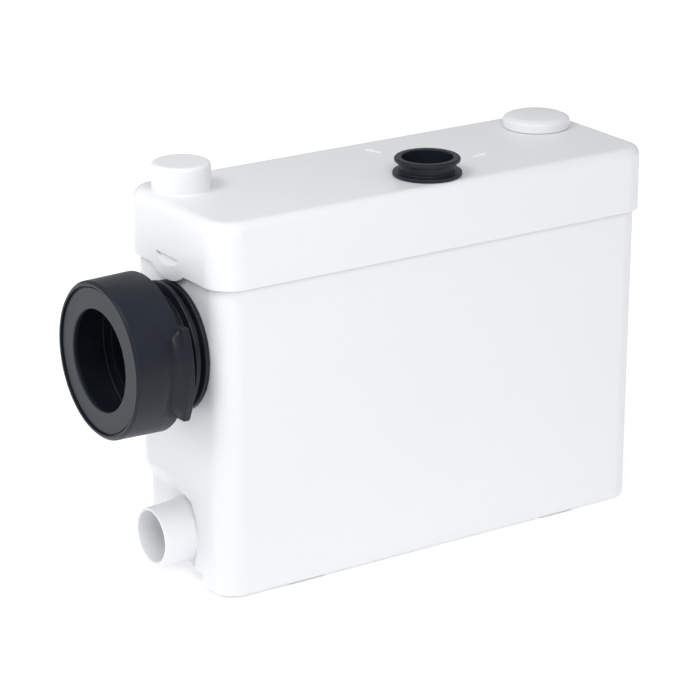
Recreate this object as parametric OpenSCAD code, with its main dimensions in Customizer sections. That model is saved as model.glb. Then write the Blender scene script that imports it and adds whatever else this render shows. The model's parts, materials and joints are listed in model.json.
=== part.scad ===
// Slim macerator toilet pump: moulded tank and clip-on lid, rubber pan collar, low waste spigot, discharge
// sleeve, vent cap, and inside them the grinder, pump, motor, valves, pressure switch and electrics.

/* [Tank] */
// Outer length of the tank, left end to right end
tank_len = 385; // [375:1:410]
// Outer depth of the tank, front to back
tank_depth = 130; // [128:1:145]
// Height of the tank from its lower edge to its rim
tank_h = 264; // [256:1:290]
// Wall of the tank
tank_wall = 3.5; // [2.5:0.25:4]
// Plan radius of the upright corners
tank_corner_r = 18.5; // [16:0.5:24]
// Height of the hollow under the floor
under_h = 10; // [8:0.5:14]
// How far the lower left end is set back
step_in = 5.5; // [3:0.5:6]
// Height of the set-back part above the tank's lower edge
step_h = 62; // [58:1:66]
// Height of the slope above the set-back part
step_ramp = 13; // [8:1:16]
// Half width of the notch in the foot skirt of both ends
notch_half = 31; // [24:1:34]

/* [Lid] */
// Wall of the lid
lid_wall = 2.75; // [2:0.25:3]
// Play between the lid's skirt and the tank
lid_gap = 1; // [0.6:0.1:1.5]
// Height of the lid's top above the tank's rim
lid_rise = 26.5; // [24:0.5:32]
// Whole height of the lid
lid_h = 50.5; // [46:0.5:54]
// Radius of the lid's upper edges
lid_edge_r = 8; // [6:0.5:12]
// Half width of the snap tongues
tongue_half = 22.5; // [20:0.5:25]
// How far the snap tongues hang below the skirt
tongue_drop = 7.6; // [6:0.2:9]
// Half width of the half-moon window in a tongue
window_half = 16; // [14:0.5:18]
// Height of the half-moon window
window_h = 8.5; // [7:0.5:10]
// How far the tongues lie behind the collar's axis
tongue_y = 4.5; // [0:0.5:8]
// Radius of the round boss over the pressure switch
boss_r = 22.2; // [21.5:0.1:24]
// Height of the boss above the lid
boss_h = 21; // [16:0.5:26]
// Boss axis from the tank's left end
boss_inset_x = 26; // [25:0.5:30]
// Boss axis from the inside of the back wall
boss_inset_y = 29; // [26:0.5:32]

/* [Pan collar] */
// Radius of the bore that grips the pan's outlet
pan_bore_r = 38.3; // [36:0.1:39]
// Outer radius of the collar's drum
drum_r = 60; // [56:0.5:61]
// Reach of the collar from the tank's end
collar_reach = 66.5; // [60:0.5:70]
// Length of the drum
drum_len = 39.5; // [36:0.5:42]
// Radius of the two ribs at the tank
rib_r = 49; // [48:0.2:51]
// Thickness of the lip that grips the pan's outlet
lip_t = 4; // [3:0.5:8]
// How far the collar's face lies behind its rim
face_recess = 1.5; // [1:0.5:4]
// Reach of the ears from the collar's axis
ear_reach = 63; // [61:0.5:67]
// Thickness of the ears
ear_t = 4; // [3:0.5:5]

/* [Low spigot] */
// Outer radius of the spigot
spigot_r = 22; // [20:0.25:23]
// Wall of the spigot
spigot_wall = 2; // [1.5:0.25:3]
// Reach of the spigot from the tank's end
spigot_reach = 25; // [20:0.5:30]
// Height of the spigot's axis above the tank's lower edge
spigot_h = 35.5; // [34:0.5:37]

/* [Discharge] */
// Discharge axis to the right of the tank's middle
outlet_x = 6; // [0:0.5:8]
// Discharge axis in front of the tank's middle, less where the valve would meet the front wall
outlet_front = 37.5; // [35:0.5:38]
// Bore of the discharge sleeve
outlet_bore_r = 19.5; // [18.5:0.1:20]
// Radius of the sleeve's upper lip
outlet_lip_r = 25; // [24:0.25:26]
// Radius of the sleeve's flange on the lid
outlet_flange_r = 26.5; // [25.5:0.25:27]
// Height of the sleeve above the lid
outlet_rise = 14; // [12:0.5:18]
// Outer radius of the riser pipe
riser_r = 17; // [15:0.25:17]
// Wall of the riser pipe
riser_wall = 3; // [2:0.25:3.5]

/* [Vent] */
// Radius of the vent cap
cap_r = 26.6; // [25:0.2:28]
// Height of the vent cap
cap_h = 10.5; // [9:0.5:14]
// Vent axis from the tank's right end
vent_inset_x = 34.5; // [34:0.5:40]
// Vent axis from the inside of the back wall
vent_inset_y = 32.5; // [32:0.5:36]

/* [Motor and pump] */
// Radius of the motor can
motor_r = 49; // [45:0.5:50]
// Length of the motor can
motor_len = 110; // [96:1:114]
// Radius of the shaft
shaft_r = 6; // [5:0.25:7]
// Radius of the pump chamber
chamber_r = 38; // [36:0.5:40]
// Radius of the grinder blade
blade_r = 38; // [32:0.5:40]
// Inner radius of the grinder basket
basket_r = 43; // [41.5:0.25:44]

/* [Feet] */
// Length of a rubber foot
foot_len = 34; // [26:1:40]
// Depth of a rubber foot
foot_depth = 15; // [12:0.5:18]
// How far the feet stand proud of the tank's lower edge
foot_proud = 2; // [1.5:0.25:3]
// Distance between the feet along the tank
foot_pitch = 236; // [200:2:250]

/* [Cable gland] */
// Radius of the cable's way through the gland
gland_bore_r = 4; // [3:0.25:5]
// Reach of the gland from the tank's end
gland_reach = 20; // [18:0.5:22]
// Height of the gland's axis above the tank's lower edge
gland_h = 200; // [185:1:215]
// Gland axis behind the tank's middle
gland_y = 15; // [0:1:20]

/* [Hidden] */
$fn = 96;
// Clearances: running fits, static fits, free faces, and a little more than nothing for cuts
run_gap = 0.05;
fit_gap = 0.15;
part_gap = 0.3;
eps = 1;
white = [0.93, 0.93, 0.95];
rubber = [0.16, 0.17, 0.19];
grey = [0.62, 0.64, 0.66];
steel = [0.75, 0.76, 0.78];
blue_grey = [0.35, 0.42, 0.5];
copper = [0.72, 0.42, 0.2];

// Heights
base_z = foot_proud;
floor_z = base_z + under_h + tank_wall;
rim_z = base_z + tank_h;
seal_h = 3;
lid_top_z = rim_z + lid_rise;
roof_z = lid_top_z - lid_wall;
skirt_z = lid_top_z - lid_h;
step_z = base_z + step_h;
spigot_z = base_z + spigot_h;
gland_z = base_z + gland_h;
tongue_gap = 0.6;
window_lift = 3;
catch_set = 0.5;
catch_gap = 1.2;
boss_edge_r = 3;
collar_z = skirt_z - tongue_drop - tongue_gap - rib_r;
motor_lift = 3;
axis_z = floor_z + motor_lift + motor_r;

// Plan
end_x = tank_len / 2;
side_y = tank_depth / 2;
in_x = end_x - tank_wall;
in_y = side_y - tank_wall;
lid_over = lid_gap + lid_wall;
lid_len = tank_len + 2 * lid_over;
lid_depth = tank_depth + 2 * lid_over;
boss_x = boss_inset_x - end_x;
boss_y = in_y - boss_inset_y;
vent_x = end_x - vent_inset_x;
vent_y = in_y - vent_inset_y;
step_y = -22;
// The part's own frame has its origin under the middle of its box
frame_x = (collar_reach - gland_reach) / 2;

// Pan collar, measured outwards from the tank's end
rib_t = 4;
rib_pitch = 8.5;
rib_step = 1;
neck_r = 42.5;
neck_bore_r = 40;
groove_r = 44;
inner_flange_r = 47;
inner_flange_t = 4;
rim_w = 4.5;
drum_wall = 8;
drum_taper = 0.8;
drum_back_t = 5;
drum_edge = 2;
drum_back = collar_reach - drum_len;
ear_low = -38.5;
ear_high = 32.5;
ear_mid = -2.5;
ear_edge_r = 80;

// Low spigot and its flap, on the set-back end wall
seat_x = step_in + tank_wall - end_x;
spigot_collar_w = 5;
spigot_collar_r = spigot_r + spigot_collar_w;
spigot_collar_t = 2;
flap_lap = 2;
flap_r = spigot_r + flap_lap;
flap_t = 3;
flap_play = 0.2;
flap_pin_r = 1.5;
flap_knuckle_r = 3.5;
flap_knuckle_half = 12;
flap_pin_out = 1;
flap_pin_x = seat_x + flap_play + flap_t + flap_pin_out;
flap_pin_z = spigot_z + flap_r + flap_knuckle_r;
lug_t = 4;
lug_half = 5;
lug_gap = 1;
lug_low = 4.5;
lug_root = 3;
flap_pin_len = 2 * (flap_knuckle_half + lug_gap + lug_t);

// Pump and motor along the shaft, from left to right
cover_t = 4;
plate_t = 14;
end_cap_t = 10;
can_wall = 2;
casing_side = 1;
casing_w = 2 * (riser_r + casing_side);
casing_x = outlet_x - casing_w / 2;
cover_x = casing_x - cover_t;
plate_x = casing_x + casing_w;
can_x = plate_x + plate_t;
cap_x = can_x + motor_len;
stub_step = 2;
stub_r = shaft_r - stub_step;
blade_t = 4;
blade_w = 14;
blade_tip = 11;
blade_gap = 6;
blade_x = cover_x - blade_gap;
nut_t = 6;
nut_r = 8;
shaft_tail = 3;
shaft_left = blade_x - blade_t - nut_t - shaft_tail;
bearing_w = 8;
bearing_wall = 8;
bearing_r = shaft_r + bearing_wall;
rear_play = 0.5;
shaft_right = cap_x + bearing_w - rear_play;
seal_wall = 4.5;
seal_r = shaft_r + seal_wall;
seal_pocket = 5;
seal_play = 0.2;
stack_inset = 21;
stack_slack = 3;
stack_len = motor_len - 2 * stack_inset - stack_slack;
rotor_r = 26;
air_gap = 0.6;
winding_in = 29;
winding_out = 43;
winding_len = 13;
winding_edge = 4;
saddle_w = 20;
saddle_half = 30;
casing_wall = 9;
casing_r = chamber_r + casing_wall;
bolt_out = 6;
bolt_ring = casing_r + bolt_out;
bolt_ear_r = 6;
bolt_r = 2.5;
bolt_head_r = 4.5;
bolt_head_t = 3;
bolt_depth = 10;
bolt_angles = [85, 205, 320];
intake_r = 15;
impeller_gap = 4;
impeller_r = chamber_r - impeller_gap;
vane_count = 6;
vane_t = 2.5;
impeller_play = 5;
impeller_back_t = 3;
hub_wall = 4;
hub_r = shaft_r + hub_wall;

// Discharge path above the pump
stub_rise = 55;
stub_top = axis_z + stub_rise;
valve_wall = 2.5;
valve_r = riser_r + fit_gap + valve_wall;
valve_clear = 1.5;
outlet_y = -min(outlet_front, in_y - valve_r - valve_clear);
valve_socket = 10;
valve_seat_t = 3.5;
valve_seat_r = 10;
valve_step = 2;
valve_bore_r = riser_r - valve_step;
valve_seat_z = stub_top + valve_seat_t;
valve_len = 31;
riser_low = valve_seat_z + valve_len;
valve_flap_r = 12;
valve_flap_t = 2;
valve_pin_r = 1.2;
valve_knuckle_r = 2.4;
valve_knuckle_half = 5;
valve_pin_y = 10.5;
valve_pin_short = 2;
valve_flap_z = valve_seat_z + flap_play;
valve_pin_z = valve_flap_z + valve_knuckle_r;
sleeve_under = 14;
sleeve_step = 5;
sleeve_under_wall = 3.5;
sleeve_under_r = riser_r + sleeve_under_wall;
sleeve_hold_r = 23.3;
sleeve_hold_t = 3;
sleeve_flange_t = 3;
sleeve_waist_r = 21;
sleeve_lip_t = 4;
sleeve_bevel = 1;
riser_high = roof_z - sleeve_step - part_gap;

// Basket
basket_wall = 2.5;
basket_gap = 39;
basket_left = seat_x + basket_gap;
basket_high = 60;
basket_hole_r = 4;
basket_hole_pitch = 15;
basket_leg_t = 5;
basket_leg_half = 20;
basket_eye = 2;
hole_angles = [-60:30:60];

// Pressure switch under the boss
tube_r = 8;
tube_bore_r = 5.5;
tube_gap = 3;
tube_y = in_y - tube_r - tube_gap;
tube_foot = 25;
chamber_w_r = 20;
air_r = 17;
air_floor = 2;
air_h = 10;
shelf_t = 6;
shelf_drop = 14;
shelf_rim = 2;
shelf_z = rim_z - shelf_drop;
air_top = shelf_z + air_h;
skin_t = 1.5;
plunger_travel = 3;
plunger_r = 12;
plunger_t = 2;
stem_r = 2.5;
cover_in_r = 14;
plunger_room = 1.5;
cover_room = plunger_t + plunger_travel + plunger_room;
cover_roof = 2.5;
skin_top = air_top + skin_t;
switch_base = skin_top + cover_room + cover_roof;
lever_t = 1;
lever_w = 5;
lever_arm = 12;
lever_tip = 20;
lever_pin_r = 1;
lever_knuckle_r = 2;
lever_lift = 6;
lever_z = switch_base + lever_lift;
cheek_t = 2.5;
cheek_gap = 3.7;
cheek_left = 15;
cheek_right = 11;
switch_len = 20;
switch_w = 7;
switch_h = 10;
lever_room = 7;
switch_z = lever_z + lever_room;
stem_top = lever_z - lever_t / 2 - part_gap;

// Electrics
box_gap = 3;
box_len = 122;
box_h = 105;
box_wall = 2.5;
box_top_gap = 6;
box_cover_t = 3;
box_right = in_x - box_gap;
box_mid = box_right - box_len / 2;
box_depth = 2 * (in_y - box_gap);
box_corner_r = tank_corner_r - tank_wall - box_gap;
box_top = rim_z - box_top_gap - box_cover_t;
box_low = box_top - box_h;
ledge_t = 6;
ledge_depth = 7;
ledge_len = 80;
post_r = 5;
post_inset = 12;
post_hole_r = 1.6;
box_screw_head_r = 3.5;
box_screw_head_t = 2.2;
box_screw_len = 14;
capacitor_r = 18;
capacitor_len = 75;
capacitor_y = -30;
block_len = 60;
block_depth = 22;
block_h = 20;
block_y = 26;
block_ways = 5;
gland_wall = 6;
gland_thread_r = gland_bore_r + gland_wall;
gland_hex_w = 4.5;
gland_hex_r = gland_thread_r + gland_hex_w;
gland_hex_t = 5;
gland_washer_t = 1.5;
gland_nut_len = 11;
gland_mouth = 2;
gland_tail = 8;
gland_inside = box_gap + tank_wall + box_wall + gland_tail;
locknut_t = 5;

// Vent
vent_hole_r = 15;
collar_r = 21;
collar_wall = 3;
collar_h = 5;
cap_top = 3;
filter_t = 4;

// Feet
foot_h = 6;
foot_y = in_y - foot_depth / 2 - fit_gap;
foot_boss = 3;
foot_corner_r = 4;

// Shared shapes

// Puts the whole unit in its own frame
module in_frame() {
    translate([frame_x, 0, 0]) children();
}

// Rounded rectangle centred on the origin
module plate(w, d, r) {
    square([w - 2 * r, d], center = true);
    square([w, d - 2 * r], center = true);
    for (sx = [-1, 1], sy = [-1, 1]) translate([sx * (w / 2 - r), sy * (d / 2 - r)]) circle(r);
}

// Upright slab with rounded corners between two heights
module slab(w, d, r, z0, z1) {
    translate([0, 0, z0]) linear_extrude(z1 - z0) plate(w, d, r);
}

// Round bar along X between two places on the axis
module bar_x(x0, x1, r) {
    translate([x0, 0, 0]) rotate([0, 90, 0]) cylinder(h = x1 - x0, r = r);
}

// Tube along X
module tube_x(x0, x1, outer, inner) {
    difference() {
        bar_x(x0, x1, outer);
        bar_x(x0 - eps, x1 + eps, inner);
    }
}

// Upright tube
module tube_z(z0, z1, outer, inner) {
    translate([0, 0, z0]) difference() {
        cylinder(h = z1 - z0, r = outer);
        translate([0, 0, -eps]) cylinder(h = z1 - z0 + 2 * eps, r = inner);
    }
}

// Hexagon nut along X
module hex_x(x0, x1, corner, bore) {
    difference() {
        translate([x0, 0, 0]) rotate([0, 90, 0]) cylinder(h = x1 - x0, r = corner, $fn = 6);
        bar_x(x0 - eps, x1 + eps, bore);
    }
}

// Rectangle standing on the X axis with its two upper corners rounded
module arch(w, h, r) {
    translate([-w / 2, 0]) square([w, h - r]);
    translate([r - w / 2, 0]) square([w - 2 * r, h]);
    for (side = [-1, 1]) translate([side * (w / 2 - r), h - r]) circle(r);
}

// Upright box with rounded corners and one radius along all its upper edges
module soft_box(w, d, h, corner, edge) {
    for (sx = [-1, 1], sy = [-1, 1])
        translate([sx * (w / 2 - corner), sy * (d / 2 - corner), 0]) boss_form(corner, h, edge);
    rotate([90, 0, 0]) linear_extrude(d - 2 * corner, center = true) arch(w, h, edge);
    rotate([90, 0, 90]) linear_extrude(w - 2 * corner, center = true) arch(d, h, edge);
}

// Moves to the pump's shaft
module on_shaft() {
    translate([0, 0, axis_z]) children();
}

// Copies at the three screws round the pump
module at_bolts() {
    for (a = bolt_angles) rotate([a, 0, 0]) translate([0, bolt_ring, 0]) children();
}

// Round flange along X with an ear for each screw
module bolt_flange(x0, x1, r) {
    translate([x0, 0, 0]) rotate([90, 0, 90]) linear_extrude(x1 - x0) {
        circle(r);
        for (a = bolt_angles) rotate(a) {
            translate([bolt_ring, 0]) circle(bolt_ear_r);
            translate([bolt_ring - 2 * bolt_ear_r, -bolt_ear_r]) square(2 * bolt_ear_r);
        }
    }
}

// Tank

// Outline of the space that the set-back lower left end takes away, seen from the front
module step_block(inset) {
    left = -end_x - eps;
    reach = tank_corner_r + step_in + inset - end_x;
    translate([0, step_y - inset, 0]) mirror([0, 1, 0]) rotate([90, 0, 0]) linear_extrude(tank_depth)
        polygon([[left, -eps], [reach, -eps], [reach, step_z], [inset + step_in - end_x, step_z],
            [inset - end_x, step_z + step_ramp], [left, step_z + step_ramp]]);
}

// The tank's form, set in from its outside by a wall
module tank_form(inset, z0, z1) {
    depth = tank_depth - 2 * inset;
    corner = tank_corner_r - inset;
    difference() {
        slab(tank_len - 2 * inset, depth, corner, z0, z1);
        difference() {
            step_block(inset);
            translate([step_in / 2, 0, 0])
                slab(tank_len - 2 * inset - step_in, depth, corner, z0 - eps, z1 + eps);
        }
    }
}

// Half-moon window or catch, seen along X, at the left end
module half_moon(x0, x1, shrink) {
    r = (window_half * window_half + window_h * window_h) / (2 * window_h);
    top = skirt_z + window_lift + window_h;
    translate([0, tongue_y, 0]) intersection() {
        translate([0, 0, top - window_h + r]) bar_x(x0, x1, r - shrink);
        translate([x0 - eps, -window_half, 0]) cube([x1 - x0 + 2 * eps, 2 * window_half, top - shrink]);
    }
}

// Shelf in the upper left corner that carries the pressure switch
module switch_shelf() {
    shelf_right = boss_x + chamber_w_r + shelf_rim;
    shelf_front = boss_y - chamber_w_r - shelf_rim;
    difference() {
        intersection() {
            slab(tank_len - tank_wall, tank_depth - tank_wall, tank_corner_r - tank_wall / 2,
                shelf_z - shelf_t, shelf_z);
            translate([-end_x, shelf_front, 0]) cube([shelf_right + end_x, tank_depth, rim_z]);
        }
        translate([boss_x, tube_y, 0]) cylinder(h = rim_z, r = tube_r + part_gap);
    }
}

module tank() {
    color(white) in_frame() difference() {
        union() {
            difference() {
                tank_form(0, base_z, rim_z);
                tank_form(tank_wall, floor_z, rim_z + eps);
                tank_form(tank_wall, -eps, base_z + under_h);
                translate([0, 0, collar_z]) bar_x(-end_x - eps, -in_x + eps, groove_r + 2 * run_gap);
                for (side = [-1, 1]) translate([side * end_x, 0, base_z])
                    cube([2 * (tank_wall + step_in) + eps, 2 * notch_half, 2 * under_h], center = true);
                translate([0, gland_y, gland_z])
                    bar_x(in_x - eps, end_x + eps, gland_thread_r + fit_gap);
            }
            translate([0, 0, spigot_z]) {
                bar_x(-end_x - spigot_reach, seat_x, spigot_r);
                bar_x(-end_x - spigot_collar_t, seat_x, spigot_collar_r);
            }
            for (side = [-1, 1]) {
                mirror([side > 0 ? 1 : 0, 0, 0])
                    half_moon(catch_set - end_x - lid_over, -in_x - eps, catch_gap);
                translate([0, side * (flap_knuckle_half + lug_gap + lug_t / 2), flap_pin_z - lug_low])
                    translate([seat_x - lug_root, -lug_t / 2, 0])
                    cube([flap_pin_x - seat_x + lug_half + lug_root, lug_t, lug_low + lug_half]);
                translate([box_mid - ledge_len / 2, side > 0 ? in_y - ledge_depth : -in_y - eps,
                    box_low - ledge_t]) cube([ledge_len, ledge_depth + eps, ledge_t]);
                for (end = [-1, 1]) translate([end * foot_pitch / 2, side * foot_y, foot_h])
                    translate([-foot_len / 2 - foot_boss, -foot_depth / 2 - fit_gap - eps, 0])
                    cube([foot_len + 2 * foot_boss, foot_depth + 2 * fit_gap + 2 * eps,
                        floor_z - tank_wall / 2 - foot_h]);
            }
            switch_shelf();
        }
        translate([0, 0, spigot_z])
            bar_x(-end_x - spigot_reach - eps, seat_x + eps, spigot_r - spigot_wall);
        translate([flap_pin_x, 0, flap_pin_z]) rotate([90, 0, 0])
            cylinder(h = flap_pin_len + 2 * eps, r = flap_pin_r + run_gap, center = true);
    }
}

// Lid and its fittings

// One snap tongue with its window still closed, at the left end
module tongue() {
    r = (tongue_half * tongue_half + tongue_drop * tongue_drop) / (2 * tongue_drop);
    low = skirt_z - tongue_drop;
    outside = lid_len / 2;
    translate([0, tongue_y, 0]) intersection() {
        translate([0, 0, low + r]) bar_x(-outside, lid_wall - outside, r);
        translate([-outside, -tongue_half, low]) cube([lid_wall, 2 * tongue_half, tongue_drop + eps]);
    }
}

module lid() {
    corner = tank_corner_r + lid_over;
    color(white) in_frame() difference() {
        union() {
            difference() {
                translate([0, 0, skirt_z]) soft_box(lid_len, lid_depth, lid_h, corner, lid_edge_r);
                translate([0, 0, skirt_z - eps]) soft_box(lid_len - 2 * lid_wall, lid_depth - 2 * lid_wall,
                    lid_h - lid_wall + eps, corner - lid_wall, lid_edge_r - lid_wall);
            }
            intersection() {
                difference() {
                    slab(tank_len, tank_depth, tank_corner_r, rim_z + seal_h, lid_top_z);
                    slab(tank_len - 2 * tank_wall, tank_depth - 2 * tank_wall, tank_corner_r - tank_wall,
                        rim_z, lid_top_z + eps);
                }
                translate([0, 0, skirt_z]) soft_box(lid_len, lid_depth, lid_h, corner, lid_edge_r);
            }
            for (end = [0, 1]) mirror([end, 0, 0]) tongue();
            translate([boss_x, boss_y, roof_z - lid_edge_r])
                boss_form(boss_r, boss_h + lid_wall + lid_edge_r, boss_edge_r);
            translate([outlet_x, outlet_y, roof_z]) cylinder(h = lid_wall, r = outlet_flange_r);
            translate([vent_x, vent_y, roof_z]) cylinder(h = lid_wall + collar_h, r = collar_r);
        }
        for (end = [0, 1]) mirror([end, 0, 0])
            half_moon(-lid_len / 2 - eps, lid_wall + eps - lid_len / 2, 0);
        translate([boss_x, boss_y, rim_z])
            cylinder(h = lid_rise + boss_h - lid_wall, r = boss_r - lid_wall);
        translate([outlet_x, outlet_y, rim_z]) cylinder(h = lid_rise + eps, r = sleeve_waist_r + fit_gap);
        translate([outlet_x, outlet_y, rim_z])
            cylinder(h = lid_rise - lid_wall, r = sleeve_hold_r + part_gap);
        translate([vent_x, vent_y, rim_z]) cylinder(h = lid_rise + collar_h + eps, r = vent_hole_r);
        translate([vent_x, vent_y, lid_top_z]) cylinder(h = collar_h + eps, r = collar_r - collar_wall);
    }
}

// Round post with a rounded upper edge
module boss_form(r, h, edge) {
    rotate_extrude() {
        square([r - edge, h]);
        square([r, h - edge]);
        translate([r - edge, h - edge]) intersection() {
            circle(edge);
            square(edge);
        }
    }
}

module lid_seal() {
    color(rubber) in_frame() difference() {
        slab(tank_len, tank_depth, tank_corner_r, rim_z, rim_z + seal_h);
        slab(tank_len - 2 * tank_wall, tank_depth - 2 * tank_wall, tank_corner_r - tank_wall,
            rim_z - eps, rim_z + seal_h + eps);
    }
}

// Half section of the collar: radius across, distance out of the tank's end upwards
module collar_section() {
    front = collar_reach;
    face = front - face_recess;
    inside = -tank_wall - fit_gap;
    polygon([
        [neck_bore_r, inside - inner_flange_t], [inner_flange_r, inside - inner_flange_t],
        [inner_flange_r, inside], [groove_r, inside], [groove_r, fit_gap],
        [rib_r, fit_gap], [rib_r, rib_t], [neck_r, rib_t],
        [neck_r, rib_pitch], [rib_r + rib_step, rib_pitch],
        [rib_r + rib_step, rib_pitch + rib_t], [neck_r, rib_pitch + rib_t],
        [neck_r, drum_back], [drum_r, drum_back], [drum_r - drum_taper, front - drum_edge],
        [drum_r - drum_taper - drum_edge, front], [drum_r - rim_w, front], [drum_r - rim_w, face],
        [pan_bore_r, face], [pan_bore_r, face - lip_t], [drum_r - drum_wall, face - lip_t],
        [drum_r - drum_wall, drum_back + drum_back_t], [neck_bore_r, drum_back + drum_back_t]]);
}

// Flat ear with a round edge on one side of the collar, seen along X
module ear_outline() {
    inside = neck_r - rib_step;
    intersection() {
        translate([ear_reach - ear_edge_r, ear_mid]) circle(ear_edge_r);
        translate([inside, ear_low]) square([ear_edge_r, ear_high - ear_low]);
    }
}

module wc_inlet_sleeve() {
    color(rubber) in_frame() translate([-end_x, 0, collar_z]) difference() {
        union() {
            rotate([0, -90, 0]) rotate_extrude() collar_section();
            for (side = [0, 1]) mirror([0, side, 0]) translate([-drum_back - eps, 0, 0])
                rotate([90, 0, 90]) linear_extrude(ear_t + eps) ear_outline();
        }
        bar_x(-drum_back - ear_t, 0, neck_bore_r);
    }
}

// Half section of the discharge sleeve: radius across, height above the lid's top upwards
module outlet_section() {
    under = -lid_wall;
    polygon([
        [outlet_bore_r, under - sleeve_step], [riser_r + fit_gap, under - sleeve_step],
        [riser_r + fit_gap, under - sleeve_under], [sleeve_under_r, under - sleeve_under],
        [sleeve_under_r, under - sleeve_hold_t], [sleeve_hold_r, under - sleeve_hold_t],
        [sleeve_hold_r, under - fit_gap], [sleeve_waist_r, under - fit_gap], [sleeve_waist_r, fit_gap],
        [outlet_flange_r, fit_gap], [outlet_flange_r, sleeve_flange_t], [sleeve_waist_r, sleeve_flange_t],
        [sleeve_waist_r, outlet_rise - sleeve_lip_t - sleeve_bevel],
        [outlet_lip_r, outlet_rise - sleeve_lip_t], [outlet_lip_r, outlet_rise - sleeve_bevel],
        [outlet_lip_r - sleeve_bevel, outlet_rise],
        [outlet_bore_r, outlet_rise]]);
}

module outlet_sleeve() {
    color(rubber) in_frame() translate([outlet_x, outlet_y, lid_top_z]) rotate_extrude() outlet_section();
}

module vent_cap() {
    color(white) in_frame() translate([vent_x, vent_y, lid_top_z]) difference() {
        boss_form(cap_r, cap_h, cap_top);
        translate([0, 0, -eps]) cylinder(h = cap_h - cap_top + eps, r = collar_r + part_gap);
    }
}

module vent_filter() {
    color(rubber) in_frame() translate([vent_x, vent_y, lid_top_z])
        cylinder(h = filter_t, r = collar_r - collar_wall - part_gap);
}

module foot_pads() {
    color(rubber) in_frame() for (end = [-1, 1], side = [-1, 1])
        translate([end * foot_pitch / 2, side * foot_y, 0])
        slab(foot_len, foot_depth, foot_corner_r, 0, foot_h);
}

// Low inlet flap

module inlet_flap() {
    color(rubber) in_frame() difference() {
        union() {
            translate([0, 0, spigot_z]) bar_x(seat_x + flap_play, seat_x + flap_play + flap_t, flap_r);
            translate([seat_x + flap_play, -flap_knuckle_half, spigot_z + flap_r / 2])
                cube([flap_t, 2 * flap_knuckle_half, flap_pin_z - spigot_z - flap_r / 2]);
            translate([flap_pin_x, 0, flap_pin_z]) rotate([90, 0, 0])
                cylinder(h = 2 * flap_knuckle_half, r = flap_knuckle_r, center = true);
        }
        translate([seat_x, -flap_r, 0]) cube([2 * flap_t, 2 * flap_r, floor_z + 2 * part_gap]);
        translate([flap_pin_x, 0, flap_pin_z]) rotate([90, 0, 0])
            cylinder(h = flap_pin_len, r = flap_pin_r + run_gap, center = true);
    }
}

module inlet_flap_pin() {
    color(steel) in_frame() translate([flap_pin_x, 0, flap_pin_z]) rotate([90, 0, 0])
        cylinder(h = flap_pin_len, r = flap_pin_r, center = true);
}

// Grinder

// Trough with a round bottom, open at the top
module trough(x0, x1, r) {
    bar_x(x0, x1, r);
    translate([x0, -r, 0]) cube([x1 - x0, 2 * r, basket_high]);
}

module grinder_basket() {
    outer = basket_r + basket_wall;
    holes = floor((cover_x - basket_left - 2 * basket_hole_pitch) / basket_hole_pitch);
    color(grey) in_frame() on_shaft() difference() {
        union() {
            trough(basket_left, cover_x, outer);
            for (x = [basket_left + basket_hole_pitch / 2, cover_x - basket_hole_pitch])
                translate([x - basket_leg_t / 2, -basket_leg_half, floor_z - axis_z])
                cube([basket_leg_t, 2 * basket_leg_half, outer - basket_wall]);
        }
        difference() {
            trough(basket_left + basket_wall, cover_x - basket_wall, basket_r);
            translate([basket_left, -outer, basket_high - eps]) cube([tank_len, 2 * outer, 2 * eps]);
        }
        translate([basket_left + basket_wall, -basket_r, basket_high - 2 * eps])
            cube([cover_x - basket_left - 2 * basket_wall, 2 * basket_r, 3 * eps]);
        bar_x(cover_x - 2 * basket_wall, cover_x + eps, intake_r + basket_eye);
        for (i = [0:holes], a = hole_angles)
            translate([basket_left + (i + 1.25) * basket_hole_pitch, 0, 0]) rotate([a + 180, 0, 0])
            translate([0, 0, basket_r - 2 * eps]) cylinder(h = basket_wall + 4 * eps, r = basket_hole_r);
    }
}

module grinder_blade() {
    color(steel) in_frame() on_shaft() difference() {
        union() {
            translate([blade_x - blade_t, -blade_w / 2, -blade_r])
                cube([blade_t, blade_w, 2 * blade_r]);
            for (side = [-1, 1]) translate([blade_x - blade_t - blade_tip, -blade_w / 2,
                side > 0 ? blade_r - blade_t : -blade_r]) cube([blade_tip + eps, blade_w, blade_t]);
        }
        bar_x(blade_x - blade_t - eps, blade_x + eps, stub_r + run_gap);
    }
}

module blade_nut() {
    color(steel) in_frame() on_shaft()
        hex_x(blade_x - blade_t - nut_t, blade_x - blade_t, nut_r, stub_r + run_gap);
}

// Pump

module pump_cover() {
    color(grey) in_frame() on_shaft() difference() {
        bolt_flange(cover_x, casing_x, casing_r);
        bar_x(cover_x - eps, casing_x + eps, intake_r);
        at_bolts() bar_x(cover_x - eps, casing_x + eps, bolt_r + fit_gap);
        at_bolts() bar_x(cover_x - eps, cover_x + bolt_head_t + fit_gap, bolt_head_r + fit_gap);
    }
}

module pump_casing() {
    color(grey) in_frame() difference() {
        union() {
            on_shaft() bolt_flange(casing_x, plate_x, casing_r);
            translate([outlet_x, outlet_y, axis_z]) cylinder(h = stub_top - axis_z, r = riser_r);
            translate([casing_x + basket_leg_t, -basket_leg_half, floor_z])
                cube([casing_w - 2 * basket_leg_t, 2 * basket_leg_half, axis_z - chamber_r - floor_z - eps]);
        }
        on_shaft() bar_x(casing_x - eps, plate_x + eps, chamber_r);
        on_shaft() at_bolts() bar_x(casing_x - eps, plate_x + eps, bolt_r + fit_gap);
        translate([outlet_x, outlet_y, axis_z + riser_wall])
            cylinder(h = stub_top - axis_z, r = valve_seat_r);
    }
}

module casing_screws() {
    color(steel) in_frame() on_shaft() at_bolts() {
        bar_x(cover_x, cover_x + bolt_head_t, bolt_head_r);
        bar_x(cover_x + bolt_head_t - eps, plate_x + bolt_depth - eps, bolt_r);
    }
}

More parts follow.
